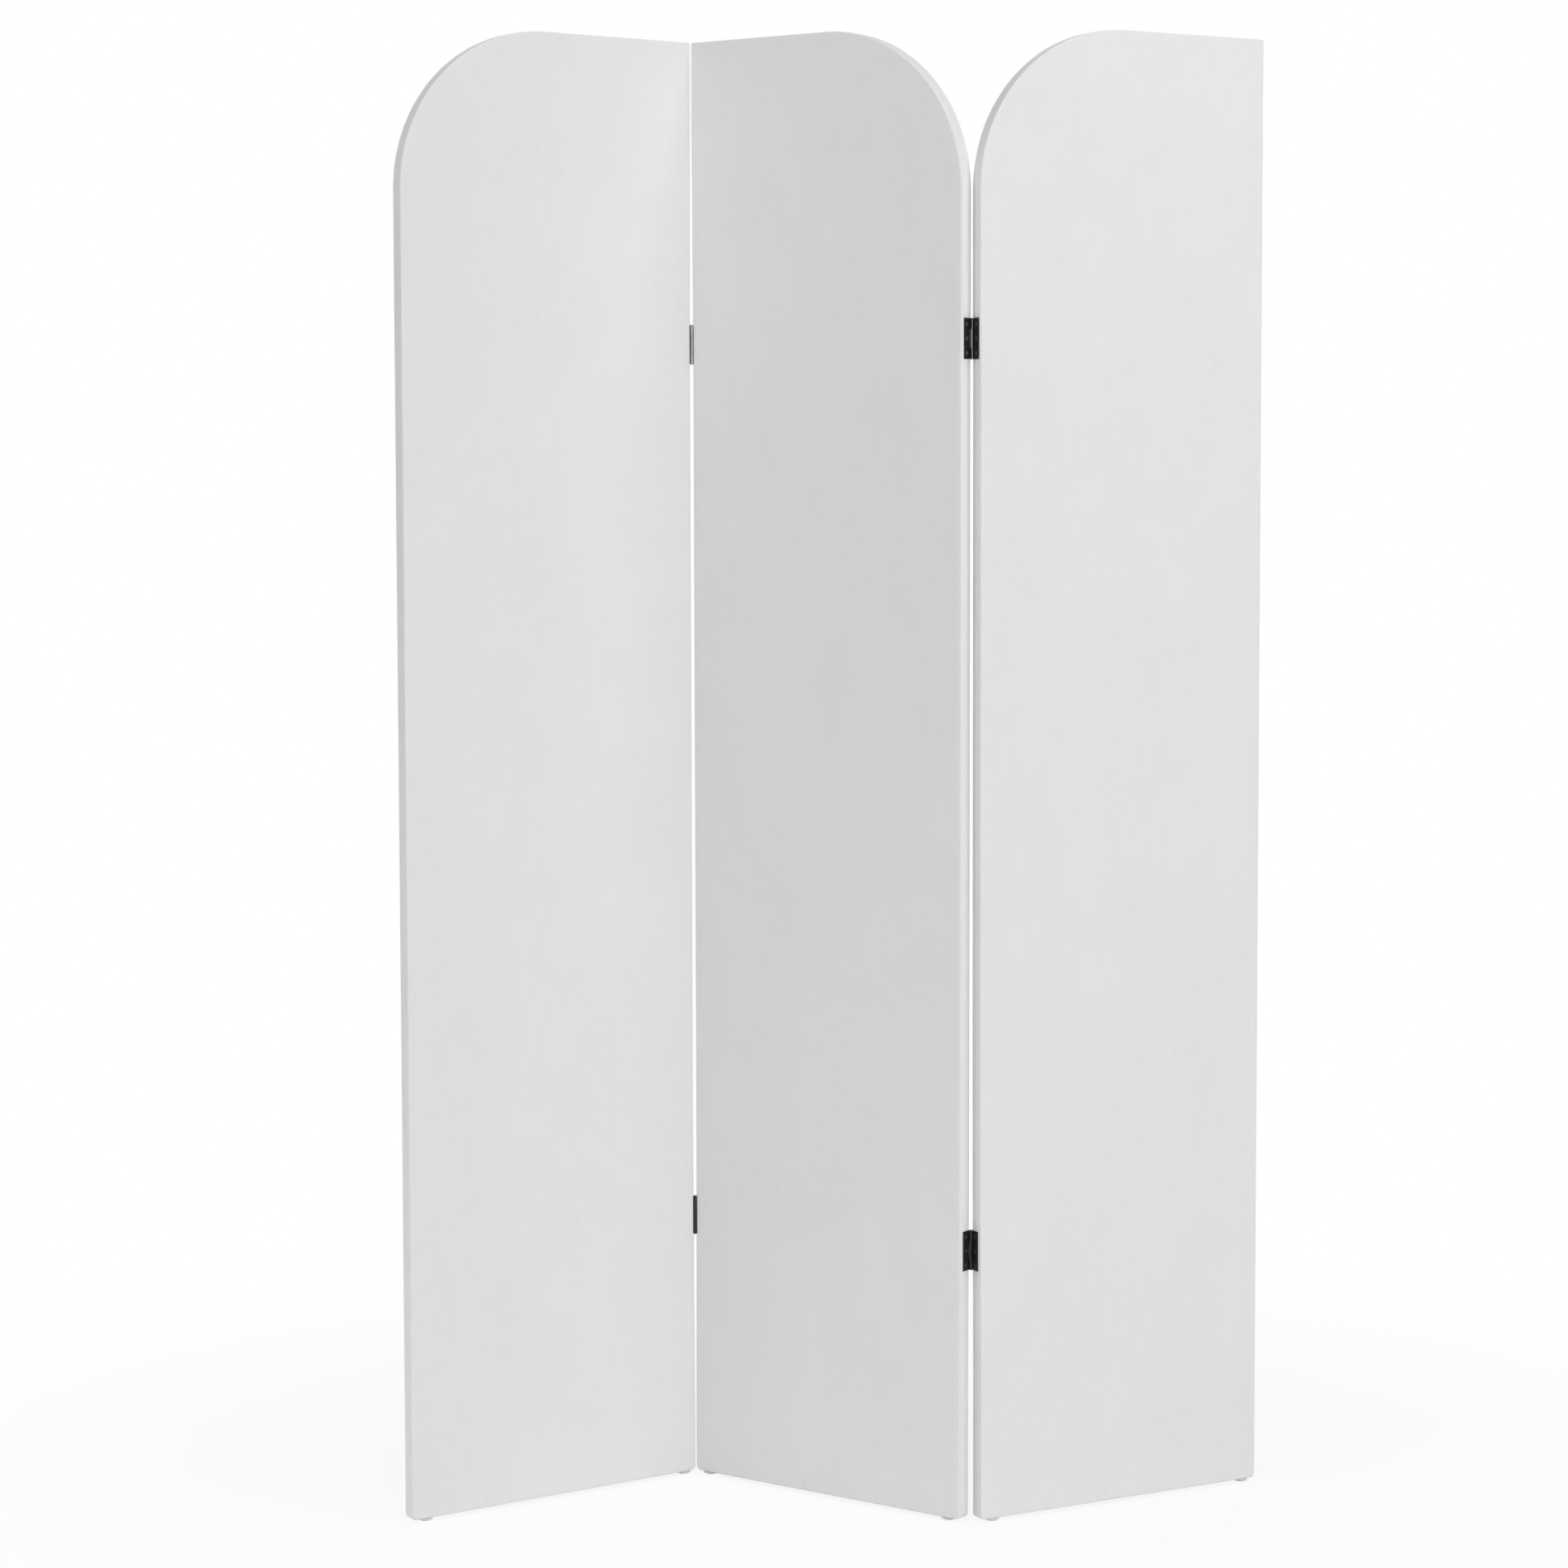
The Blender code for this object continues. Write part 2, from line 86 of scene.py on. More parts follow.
# How far the padding stands out of the panels' ends at a fold, as (height, distance) pairs
END_PADDING = {
    "left_fold": (
        (0.06, 0.0024), (0.13, 0.00215), (0.23, 0.0016), (0.30, 0.00135), (0.44, 0.00092),
        (1.41, 0.00085), (1.53, 0.0014), (1.64, 0.0019), (1.73, 0.0024),
    ),
    "right_fold": (
        (0.10, -0.0008), (0.18, -0.0007), (0.28, 0.0), (0.43, 0.0007), (0.68, 0.0010),
        (0.90, 0.00115), (1.42, 0.00125), (1.48, 0.00187),
    ),
}

# Strips of bare steel on each barrel, set where the barrel's highlights fall: partly rubbed steel and
# partly painted highlight, strongest on the upper hinges as a painted reflection of the light from
# above.
# (knuckles, middle azimuth, half width in degrees, amount of rubbing and painted highlight from 0 to
# 1), the azimuth turning from the front to the right
BARREL_WEAR_AND_HIGHLIGHTS = {
    "left_fold_upper": (
        ("outer", 36.0, 54.0, 0.84), ("outer", -52.0, 34.0, 0.42),
        ("middle", 34.0, 52.0, 0.76), ("middle", -52.0, 34.0, 0.36),
    ),
    "left_fold_lower": (("outer", 20.0, 30.0, 0.12), ("middle", 15.0, 30.0, 0.10)),
    "right_fold_upper": (("outer", 22.0, 13.0, 0.95), ("middle", -22.0, 48.0, 0.74)),
    "right_fold_lower": (("outer", 25.0, 16.0, 0.34), ("middle", -50.0, 18.0, 0.60)),
}
HANDLING_WEAR = 0.12  # on the rest of a leaf
SHANK_WEAR = 0.2  # on a screw below its head
PIN_WEAR_AND_HIGHLIGHT_SHARE = 0.9  # of the rubbing and painted highlight on the outer knuckles beside it

# How far the cross recesses are turned on each panel, in radians, and from screw to screw
RECESS_TURNS = {"left": 7.6, "middle": 11.4, "right": 9.5}
RECESS_STEP, UPPER_RECESS_STEP = 0.7, 0.4

# Each lamp: its place, the point that it faces, its two sides and its spread in degrees
LAMPS = {
    "key": ((2.6, -3.6, 1.3), (0.0, 0.0, 0.95), (1.6, 1.6), 180.0),
    "low_right": ((2.2, -2.2, 0.45), (0.0, 0.0, 0.3), (1.2, 0.7), 180.0),
    "high_right": ((2.2, -1.5, 3.8), (0.0, 0.0, 1.8), (1.2, 1.2), 120.0),
    "high_left": ((-2.0, -1.8, 3.8), (0.0, 0.0, 1.8), (1.2, 1.2), 120.0),
    "left_foot": ((-0.6, -1.1, 2.4), (-0.6, -1.0, 0.0), (0.8, 0.8), 70.0),
    "right_foot": ((0.7, -1.1, 2.4), (0.7, -1.0, 0.0), (0.8, 0.8), 70.0),
    "low_left": ((-2.2, -0.6, 0.1), (0.0, 0.0, -0.05), (1.4, 0.15), 180.0),
    "back": ((0.0, 4.0, 2.4), (0.0, 0.0, 0.95), (3.0, 2.4), 180.0),
}

CAMERA_PLACE = (0.0894, -4.5771, 1.2936)
CAMERA_TILT = 86.015  # degrees up from looking straight down
CAMERA_SHIFT = (-0.0799, -0.0367)


def length(name, default, about):
    return bpy.props.FloatProperty(
        name=name, description=about, default=default, precision=5, subtype="DISTANCE", unit="LENGTH"
    )


def colour(name, default, about):
    return bpy.props.FloatVectorProperty(
        name=name, description=about, default=default, size=3, min=0.0, max=1.0, subtype="COLOR"
    )


def watts(name, default, about):
    return bpy.props.FloatProperty(
        name=name, description=about, default=default, min=0.0, subtype="POWER", unit="POWER"
    )


class DividerSizes(bpy.types.PropertyGroup):
    """Sizes of the panels, hinges, screws and glides."""

    panel_width: length("Panel width", 0.406, "Width of one panel")
    panel_height: length(
        "Panel height", COVER_BOX[1].z - COVER_BOX[0].z, "Height of one panel without its glides"
    )
    panel_thickness: length("Panel thickness", 0.020, "Thickness over both covers")
    round_corner: length("Round corner", 0.200, "Radius of the large round top corner")
    square_corner: length("Square corner", 0.003, "Radius of the small top corner")
    bottom_corner: length("Bottom corner", 0.006, "Radius of the two bottom corners")
    cover_thickness: length("Cover thickness", 0.0012, "Thickness of velvet and wadding")
    edge_rounding: length("Edge rounding", 0.002, "Radius of the covers' soft edges")
    seam_from_front: length("Seam", 0.012, "Distance from the front face to the seam")
    seam_gap: length("Seam gap", 0.0001, "Gap between the two covers at the seam")
    seam_rounding: length("Seam rounding", 0.00035, "Radius of each cover's turned edge")
    ripple: length("Ripple", 0.00022, "Height of the slack ripples in the velvet")
    leaf_height: length("Leaf height", LEAF_BOX[1].z - LEAF_BOX[0].z, "Height of a hinge")
    leaf_reach: length("Leaf reach", 0.0142, "From the pin to the leaf's free edge")
    leaf_thickness: length("Leaf thickness", 0.0010, "Thickness of the hinge's steel strip")
    knuckle_radius: length("Knuckle radius", 0.0022, "Outer radius of the hinge's barrel")
    middle_knuckle: length("Middle knuckle", 0.023, "Height of the middle knuckle")
    knuckle_proud: length("Knuckle proud", 0.00035, "How far the pin lies out of the face")
    pin_radius: length("Pin radius", 0.0010, "Radius of the hinge pin")
    pin_head_radius: length("Pin head radius", 0.0019, "Radius of the pin's riveted ends")
    pin_head_height: length("Pin head height", 0.0005, "Height of the pin's riveted ends")
    fit: length("Fit", 0.0003, "Gap between the hinge and the panel's end")
    knuckle_gap: length("Knuckle gap", 0.0001, "Gap between one knuckle and the next leaf")
    upper_hinge: length("Upper hinge", 0.378, "From the panel's top to the upper hinge's middle")
    lower_hinge: length("Lower hinge", 0.3335, "From the panel's bottom to the lower hinge's middle")
    screw_spacing: length("Screw spacing", 0.0175, "Distance between the screws of a leaf")
    screw_from_pin: length("Screw line", 0.0084, "From the pin to the line of screws")
    screw_length: length("Screw length", 0.016, "Length of a screw")
    screw_tip: length("Screw tip", 0.004, "Length of a screw's point")
    shank_radius: length("Shank radius", 0.0014, "Outer radius of a screw's thread")
    head_radius: length("Head radius", 0.0024, "Radius of a screw's head")
    thread_pitch: length("Thread pitch", 0.0015, "Distance from one turn of thread to the next")
    glide_radius: length("Glide radius", 0.009, "Radius of a glide")
    glide_height: length("Glide height", 0.004, "Height of a glide under the panel")
    glide_dome: length("Glide dome", 0.0030, "Height of the dome under a glide's rim")
    glide_foot: length("Glide foot", 0.0045, "Radius of the flat foot of a glide")
    nail_radius: length("Nail radius", 0.0009, "Radius of a glide's nail")
    nail_length: length("Nail length", 0.015, "Length of a glide's nail above the glide")


class DividerColours(bpy.types.PropertyGroup):
    """Colours of the velvet, the metal and the hidden wood."""

    velvet: colour("Velvet", (0.745, 0.745, 0.745), "The covers' pale grey velvet")
    black_finish: colour("Black finish", (0.011, 0.011, 0.011), "The hinges' black finish")
    # Bare steel also paints the barrels' highlights; its value was set to match the highlights'
    # brightness
    bare_steel_and_highlight: colour("Bare steel", (0.43, 0.43, 0.42), "Steel where the black is rubbed off")
    glide: colour("Glides", (0.70, 0.70, 0.70), "The glides' pale plastic")
    pine: colour("Pine", (0.70, 0.50, 0.30), "The frames' pale wood")
    pine_grain: colour("Pine grain", (0.52, 0.32, 0.16), "The darker rings in the wood")
    hardboard: colour("Hardboard", (0.26, 0.16, 0.09), "The boards' brown fibre")
    floor: colour("Floor", (0.90, 0.90, 0.90), "The stage's floor")


class DividerStage(bpy.types.PropertyGroup):
    """Lamps and camera of the stage."""

    key_power: watts("Key lamp", 49.0, "Power of the large lamp in front at the right")
    low_right_power: watts("Low right lamp", 9.0, "Power of the lamp low at the right")
    high_right_power: watts("High right lamp", 18.4, "Power of the lamp high at the right")
    high_left_power: watts("High left lamp", 18.6, "Power of the lamp high at the left")
    left_foot_power: watts("Left foot lamp", 1.9, "Power of the lamp on the left panels' feet")
    right_foot_power: watts("Right foot lamp", 0.65, "Power of the lamp on the right panel's foot")
    low_left_power: watts("Low left lamp", 8.4, "Power of the strip lamp low at the left")
    back_power: watts("Back lamp", 55.0, "Power of the lamp behind the screen")
    ambient: bpy.props.FloatProperty(
        name="Ambient light", description="Strength of the even light", default=0.25, min=0.0
    )
    lens: bpy.props.FloatProperty(
        name="Lens", description="Camera's focal length", default=84.64, subtype="DISTANCE_CAMERA"
    )


# Places


def panel_places(sizes):
    """Each panel's turn about Z and the place of its own frame's origin.

    The line between the two pins is turned from the world's X axis by the middle panel's turn
    and by the slant of that line in the panel, whose tangent is the thickness plus twice the
    pin's stand-out over the width plus twice the pin's distance. A fold's lower limit is minus
    the turn from the middle panel to the outer one, since the panels are in line there.
    """
    left_pin, right_pin = (np.array(FOLDS[name]["pos_m"]) for name in ("left_fold", "right_fold"))
    end_to_pin = sizes.knuckle_radius + sizes.fit
    span = right_pin - left_pin
    across = sizes.panel_thickness + 2 * sizes.knuckle_proud
    along = sizes.panel_width + 2 * end_to_pin
    middle = math.atan2(span[1], span[0]) - math.atan2(across, along)
    turns = {
        "left": middle - math.radians(FOLDS["left_fold"]["range_deg"][0]),
        "middle": middle,
        "right": middle - math.radians(FOLDS["right_fold"]["range_deg"][0]),
    }
    pins = {
        "left": (left_pin, (sizes.panel_width + end_to_pin, -sizes.knuckle_proud)),
        "middle": (left_pin, (-end_to_pin, -sizes.knuckle_proud)),
        "right": (right_pin, (-end_to_pin, sizes.panel_thickness + sizes.knuckle_proud)),
    }
    places = {}
    for side, (pin, (x, y)) in pins.items():
        c, s = math.cos(turns[side]), math.sin(turns[side])
        origin = (pin[0] - c * x + s * y, pin[1] - s * x - c * y, COVER_BOX[0].z)
        places[side] = (np.array([[c, -s, 0.0], [s, c, 0.0], [0.0, 0.0, 1.0]]), np.array(origin))
    return places


def into_world(points, place):
    """Points of a panel's own frame, turned and moved into the world."""
    turn, origin = place
    return points @ turn.T + origin


def leaf_axes(sizes, end, pin_side):
    """A hinge leaf's frame in its panel's: X away from the pin, Y out of the end, Z along it."""
    outward = np.array([-1.0 if end == "left" else 1.0, 0.0, 0.0])
    inward = np.array([0.0, 1.0 if pin_side == "front" else -1.0, 0.0])
    end_to_pin = sizes.knuckle_radius + sizes.fit
    x = -end_to_pin if end == "left" else sizes.panel_width + end_to_pin
    y = -sizes.knuckle_proud if pin_side == "front" else sizes.panel_thickness + sizes.knuckle_proud
    return np.stack([inward, outward, np.cross(inward, outward)]), np.array([x, y, 0.0])


def hinge_heights(sizes):
    """How high the middle of each hinge lies above a panel's bottom edge."""
    return {"upper": sizes.panel_height - sizes.upper_hinge, "lower": sizes.lower_hinge}


# Meshes


def smoothstep(values, low, high):
    """0 below low, 1 above high, and 3t^2 - 2t^3 between them."""
    t = np.clip((np.asarray(values, float) - low) / (high - low), 0.0, 1.0)
    return t * t * (3.0 - 2.0 * t)


def grid_quads(rows, columns, first=0, around=False):
    """Quads of a grid of points stored row by row, joined round along the columns if around."""
    j = np.arange(rows - 1)[:, None]
    i = np.arange(columns if around else columns - 1)[None, :]
    after = (i + 1) % columns
    quads = [j * columns + i, j * columns + after, (j + 1) * columns + after, (j + 1) * columns + i]
    return first + np.stack(quads, axis=-1).reshape(-1, 4)


def mesh_of(name, points, faces, uv=None):
    """A mesh of the given points and quads, with one UV pair per point if uv is given."""
    mesh = bpy.data.meshes.new(name)
    mesh.from_pydata(points, [], faces)
    if uv is not None:
        layer = mesh.uv_layers.new(name="cloth")
        layer.data.foreach_set("uv", uv[faces.ravel()].astype(np.float32).ravel())
    mesh.update()
    return mesh


def weld(mesh, distance=1e-7):
    """Joins doubled points, which turns the collapsed quads at a pole into triangles."""
    bm = bmesh.new()
    bm.from_mesh(mesh)
    bmesh.ops.remove_doubles(bm, verts=bm.verts, dist=distance)
    bm.to_mesh(mesh)
    bm.free()
    return mesh


def turned_mesh(name, profile, steps):
    """A profile of (radius, height), top to bottom, turned about Z: r cos a, r sin a, h."""
    angle = 2.0 * np.pi * np.arange(steps) / steps
    radius, height = np.array(profile).T
    x, y = np.outer(radius, np.cos(angle)), np.outer(radius, np.sin(angle))
    points = np.stack([x, y, np.repeat(height[:, None], steps, axis=1)], axis=-1)
    quads = grid_quads(len(radius), steps, around=True)[:, ::-1]
    return weld(mesh_of(name, points.reshape(-1, 3), quads))


def arc(centre_r, centre_z, radius, start, end, count):
    """Points of a circle from the start angle to the end angle, in degrees, ends included."""
    angle = np.radians(np.linspace(start, end, count + 1))
    return np.column_stack([centre_r + radius * np.cos(angle), centre_z + radius * np.sin(angle)])


def evaluated_mesh(obj):
    """The helper object's mesh with its modifiers applied; the helper is removed."""
    graph = bpy.context.evaluated_depsgraph_get()
    mesh = bpy.data.meshes.new_from_object(obj.evaluated_get(graph))
    bpy.data.objects.remove(obj, do_unlink=True)
    return mesh


def helper(mesh):
    """An object that only carries a mesh through its modifiers."""
    obj = bpy.data.objects.new("helper", mesh)
    bpy.context.scene.collection.objects.link(obj)
    return obj


def mesh_points(mesh):
    points = np.empty(3 * len(mesh.vertices), np.float32)
    mesh.vertices.foreach_get("co", points)
    return points.reshape(-1, 3).astype(float)


def set_points(mesh, points):
    mesh.vertices.foreach_set("co", points.astype(np.float32).ravel())
    mesh.update()


def placed_copy(mesh, name, axes, origin, place):
    """A copy of a mesh moved from a small frame, given by its axes as rows, into the world."""
    copy = mesh.copy()
    copy.name = name
    set_points(copy, into_world(mesh_points(copy) @ axes + origin, place))
    return copy


def new_piece(node_name, mesh, material, panel, name=None, sharp_angle=40.0):
    """An object of the divider that rides on a panel and stands for one CAD node."""
    mesh.materials.clear()
    mesh.materials.append(material)
    mesh.shade_smooth()
    mesh.set_sharp_from_angle(angle=math.radians(sharp_angle))
    piece = bpy.data.objects.new(name or f"{node_name}_detail", mesh)
    bpy.context.scene.collection.objects.link(piece)
    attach(piece, f"{panel}_panel")
    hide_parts(node_name)
    return piece


# Materials


def new_material(name, uv_map=None):
    """A material, its tree and shader, and where its patterns lie: in space or on a UV map."""
    material = bpy.data.materials.new(name)
    material.use_nodes = True
    tree = material.node_tree
    if uv_map:
        place = node(tree, "ShaderNodeUVMap", uv_map=uv_map).outputs["UV"]
    else:
        place = node(tree, "ShaderNodeTexCoord").outputs["Object"]
    return material, tree, tree.nodes["Principled BSDF"], place


def node(tree, kind, inputs=(), **settings):
    """A new node with its settings; inputs pairs a socket with a value or with another socket."""
    made = tree.nodes.new(kind)
    for key, value in settings.items():
        setattr(made, key, value)
    for key, value in dict(inputs).items():
        if isinstance(value, bpy.types.NodeSocket):
            tree.links.new(value, made.inputs[key])
        else:
            made.inputs[key].default_value = value
    return made


def math_node(tree, operation, first, second=0.5, third=0.5):
    inputs = {0: first, 1: second, 2: third}
    return node(tree, "ShaderNodeMath", inputs, operation=operation).outputs[0]


def weighted(tree, start, *terms):
    """The start plus each term's value times its weight."""
    total = start
    for value, weight in terms:
        total = math_node(tree, "MULTIPLY_ADD", value, weight, total)
    return total


def noise(tree, place, scale, detail=2.0, roughness=0.5, stretch=(1.0, 1.0, 1.0), distortion=0.0):
    """Noise from 0 to 1 on a place socket, its cells as long as stretch says."""
    inputs = {"Vector": place, "Scale": tuple(1.0 / s for s in stretch)}
    mapped = node(tree, "ShaderNodeMapping", inputs, vector_type="POINT").outputs[0]
    inputs = {"Vector": mapped, "Scale": scale, "Detail": detail, "Roughness": roughness}
    return node(tree, "ShaderNodeTexNoise", {**inputs, "Distortion": distortion}).outputs[0]


def remap(tree, value, low, high, to_low=0.0, to_high=1.0):
    inputs = {"Value": value, "From Min": low, "From Max": high, "To Min": to_low, "To Max": to_high}
    return node(tree, "ShaderNodeMapRange", inputs, clamp=True).outputs[0]


def between(tree, share, first, second):
    """The first colour where the share is 0, and the second where it is 1."""
    inputs = {0: share, 6: (*first, 1.0), 7: (*second, 1.0)}
    return node(tree, "ShaderNodeMix", inputs, data_type="RGBA").outputs[2]


def set_surface(tree, shader, base, shade, rough, bump):
    """Gives a shader its base colour times the shade, its roughness, and a bump.

    The bump is its strength, its depth in metres and the socket of its height.
    """
    base = base if isinstance(base, bpy.types.NodeSocket) else tuple(base)
    tinted = node(tree, "ShaderNodeVectorMath", {0: base, "Scale": shade}, operation="SCALE")
    bumped = node(tree, "ShaderNodeBump", zip(("Strength", "Distance", "Height"), bump))
    tree.links.new(tinted.outputs[0], shader.inputs["Base Color"])
    tree.links.new(rough, shader.inputs["Roughness"])
    tree.links.new(bumped.outputs[0], shader.inputs["Normal"])


def velvet_material(colours):
    """Pale velvet: upright streaks in the nap, cloudy patches, a fine pile, scuffs by the foot."""
    material, tree, shader, place = new_material("pale_velvet", uv_map="cloth")
    pile = noise(tree, place, 850.0, detail=3.0, roughness=0.65)
    weave = noise(tree, place, 330.0, stretch=(1.0, 1.8, 1.0))
    streaks = noise(tree, place, 120.0, detail=4.0, roughness=0.6, stretch=(1.0, 18.0, 1.0))
    cloud = noise(tree, place, 9.0, detail=7.0, roughness=0.62, stretch=(1.0, 1.4, 1.0))
    marks = noise(
        tree, place, 62.0, detail=4.0, roughness=0.6, stretch=(1.0, 1.3, 1.0), distortion=0.5
    )
    marked_share = remap(tree, marks, 0.52, 0.76)
    above_foot = node(tree, "ShaderNodeSeparateXYZ", {0: place}).outputs["Y"]
    by_foot = remap(tree, above_foot, 0.0, 0.05, 1.0, 0.0)
    here = remap(tree, noise(tree, place, 16.0), 0.50, 0.64)
    scuffs = noise(tree, place, 120.0, detail=5.0, roughness=0.7, stretch=(1.0, 1.3, 1.0))
    scuffed = math_node(tree, "MULTIPLY", remap(tree, scuffs, 0.50, 0.72), by_foot)
    scuffed = math_node(tree, "MULTIPLY", scuffed, here)
    shade = weighted(tree, 0.918, (pile, 0.096), (weave, 0.020), (streaks, 0.030), (cloud, 0.080))
    shade = weighted(tree, shade, (marked_share, -0.020), (scuffed, -0.080))
    rough = remap(tree, cloud, 0.3, 0.7, 0.86, 0.96)
    height = weighted(tree, pile, (weave, 0.5), (streaks, 0.3))
    set_surface(tree, shader, colours.velvet, shade, rough, (0.2, 0.00022, height))
    shader.inputs["Specular IOR Level"].default_value = 0.25
    shader.inputs["Sheen Weight"].default_value = 0.18
    shader.inputs["Sheen Roughness"].default_value = 0.45
    shader.inputs["Sheen Tint"].default_value = (1.0, 1.0, 1.0, 1.0)
    return material


def steel_material(colours):
    """Blackened steel, bare metal where the piece's attribute is high: rubbed spots, and painted
    highlights on the barrels and screw heads.

    The leaves, pins and screws share it, so it is made only once.
    """
    made = bpy.data.materials.get("blackened_steel")
    if made:
        return made
    material, tree, shader, place = new_material("blackened_steel")
    wear = node(tree, "ShaderNodeAttribute", attribute_name="wear").outputs["Fac"]
    patches = noise(tree, place, 900.0, detail=4.0, roughness=0.65)
    scratches = noise(tree, place, 2600.0, stretch=(1.0, 1.0, 9.0))
    uneven = weighted(tree, patches, (scratches, 0.6))
    # Bare steel shows where the piece's attribute is high: real rubbing, and painted highlights along
    # the barrels' strips
    bare = remap(tree, weighted(tree, wear, (uneven, 0.55)), 0.62, 1.45)
    mixed = between(tree, bare, colours.black_finish, colours.bare_steel_and_highlight)
    grime = remap(tree, patches, 0.3, 0.7, 0.78, 1.15)
    rough = weighted(tree, 0.32, (patches, 0.2))
    set_surface(tree, shader, mixed, grime, rough, (0.25, 0.00004, patches))
    tree.links.new(bare, shader.inputs["Metallic"])
    shader.inputs["Specular IOR Level"].default_value = 0.38
    return material


def glide_material(colours):
    """Moulded plastic: faint clouding, fine scuffs round the rim and a soft gloss."""
    material, tree, shader, place = new_material("moulded_plastic")
    cloud = noise(tree, place, 320.0, detail=3.0)
    scuffs = noise(tree, place, 1400.0, detail=4.0, roughness=0.7, stretch=(4.0, 4.0, 1.0))
    worn = remap(tree, scuffs, 0.56, 0.72)
    shade = weighted(tree, 0.95, (cloud, 0.10), (worn, -0.14))
    rough = remap(tree, worn, 0.0, 1.0, 0.38, 0.62)
    set_surface(tree, shader, colours.glide, shade, rough, (0.3, 0.00005, scuffs))
    return material


def pine_material(colours):
    """Planed pine: long growth rings, fine pores and a few darker streaks."""
    material, tree, shader, place = new_material("planed_pine")
    rings = noise(tree, place, 140.0, detail=3.0, stretch=(1.0, 1.0, 22.0), distortion=0.6)
    pores = noise(tree, place, 1500.0, stretch=(1.0, 1.0, 14.0))
    grain = between(tree, remap(tree, rings, 0.42, 0.60), colours.pine, colours.pine_grain)
    shade = remap(tree, pores, 0.3, 0.7, 0.88, 1.06)
    rough = remap(tree, pores, 0.2, 0.8, 0.55, 0.8)
    set_surface(tree, shader, grain, shade, rough, (0.3, 0.0001, pores))
    return material


def hardboard_material(colours):
    """Pressed fibre: short matted fibres in mixed browns."""
    material, tree, shader, place = new_material("pressed_fibre")
    fibres = noise(tree, place, 700.0, detail=5.0, roughness=0.7, distortion=1.5)
    blotches = noise(tree, place, 60.0, detail=3.0)
    shade = weighted(tree, 0.55, (fibres, 0.7), (blotches, 0.25))
    rough = remap(tree, fibres, 0.2, 0.8, 0.6, 0.85)
    set_surface(tree, shader, colours.hardboard, shade, rough, (0.3, 0.00015, fibres))
    return material


# Velvet covers


def side_of_outline(z, bottom_radius, top_radius, height, inset):
    """Where the outline drawn in by inset runs at height z, as a distance from the panel's side.

    On the straight side it is the inset. On a corner it is the corner's radius less the half
    chord sqrt(r^2 - h^2), with r the radius less the inset and h the height from the corner's
    centre. The outward direction is the half chord and h over r.
    """
    low, high = z < bottom_radius, z > height - top_radius
    centre_z = np.where(low, bottom_radius, np.where(high, height - top_radius, z))
    corner = np.where(low, bottom_radius, np.where(high, top_radius, 0.0))
    radius = np.maximum(corner - inset, 1e-9)
    h = z - centre_z
    chord = np.sqrt(np.maximum(radius**2 - h**2, 0.0))
    on_corner = low | high
    distance = np.where(on_corner, corner - chord, inset)
    out = np.where(on_corner, chord / radius, 1.0)
    up = np.where(on_corner, np.clip(h / radius, -1.0, 1.0), 0.0)
    return distance, out, up


def row_heights(sizes, top_radii, inset):
    """Heights of the rows: even on the sides, closer by the hinges, by equal angles on corners."""
    bottom, height = sizes.bottom_corner, sizes.panel_height
    quarter = np.linspace(0.0, np.pi / 2, 8)
    rows = [bottom - (bottom - inset) * np.cos(quarter)]
    rows.append(np.linspace(bottom, height - max(top_radii), 200))
    past_leaf = np.array([-0.001, 0.0001, 0.0003, 0.0005, 0.0007, 0.0009, 0.002])
    for middle in hinge_heights(sizes).values():
        from_middle = sizes.leaf_height / 2 + past_leaf
        rows += [middle + from_middle, middle - from_middle]
    for radius in top_radii:
        angle = np.linspace(0.0, np.pi / 2, 60 if radius > 0.02 else 8)
        rows.append(height - radius + (radius - inset) * np.sin(angle))
    heights, closest = np.unique(np.concatenate(rows)), 4e-5
    apart = np.diff(heights) > closest
    apart[0] = True
    return heights[np.append(apart, True)]


def ripples(x, z, seed):
    """Slack in the cloth, mostly from -1 to 1: the sum of nine plane waves of 70 to 260 mm.

    Each is a sine of the distance along its own way, and longer waves weigh more. Their ways and
    phases come from the seed.
    """
    chosen = np.random.default_rng(seed)
    total, weights = np.zeros_like(x), 0.0
    for wavelength in np.geomspace(0.07, 0.26, 9):
        way = chosen.uniform(-0.9, 0.9)
        phase = chosen.uniform(0.0, 2 * np.pi)
        weight = wavelength**0.8
        turn = 2 * np.pi / wavelength
        total += weight * np.sin(turn * (x * np.cos(way) + z * np.sin(way)) + phase)
        weights += weight
    return 2.0 * total / weights


def cover_profile(sizes, depth):
    """The cover's wrapped edge, one row for each point.

    The columns are the way out from the inset outline, the depth behind the face, the share of
    the end's padding, and the two steps that square the rounded edge. The points follow a
    quarter circle from the face, a straight side, the turned edge at the seam, and the inside
    back to the face. The squared edge is sqrt(sin t), sqrt(cos t) for the circle's sin t, cos t.
    """
    r, rim, wall = sizes.edge_rounding, sizes.seam_rounding, sizes.cover_thickness
    t = np.linspace(0.0, np.pi / 2, 9)[1:]
    s, c = np.sin(t), np.maximum(np.cos(t), 0.0)
    outer = np.column_stack([r * s, r - r * c, s, r * (np.sqrt(s) - s), r * (c - np.sqrt(c))])
    side = np.linspace(r, depth - rim, 7)[1:-1]
    side = np.column_stack([np.full(len(side), r), side])
    seam = arc(r - rim, depth - rim, rim, 0.0, 90.0, 4)
    back_wall = [[r - wall, depth], [r - wall, (depth + r) / 2]]
    plain = np.vstack([side, seam, back_wall, arc(0.0, r, r - wall, 0.0, -90.0, 4)])
    padded = np.arange(len(plain)) < len(side) + len(seam)
    return np.vstack([outer, np.column_stack([plain, padded, np.zeros((len(plain), 2))])])


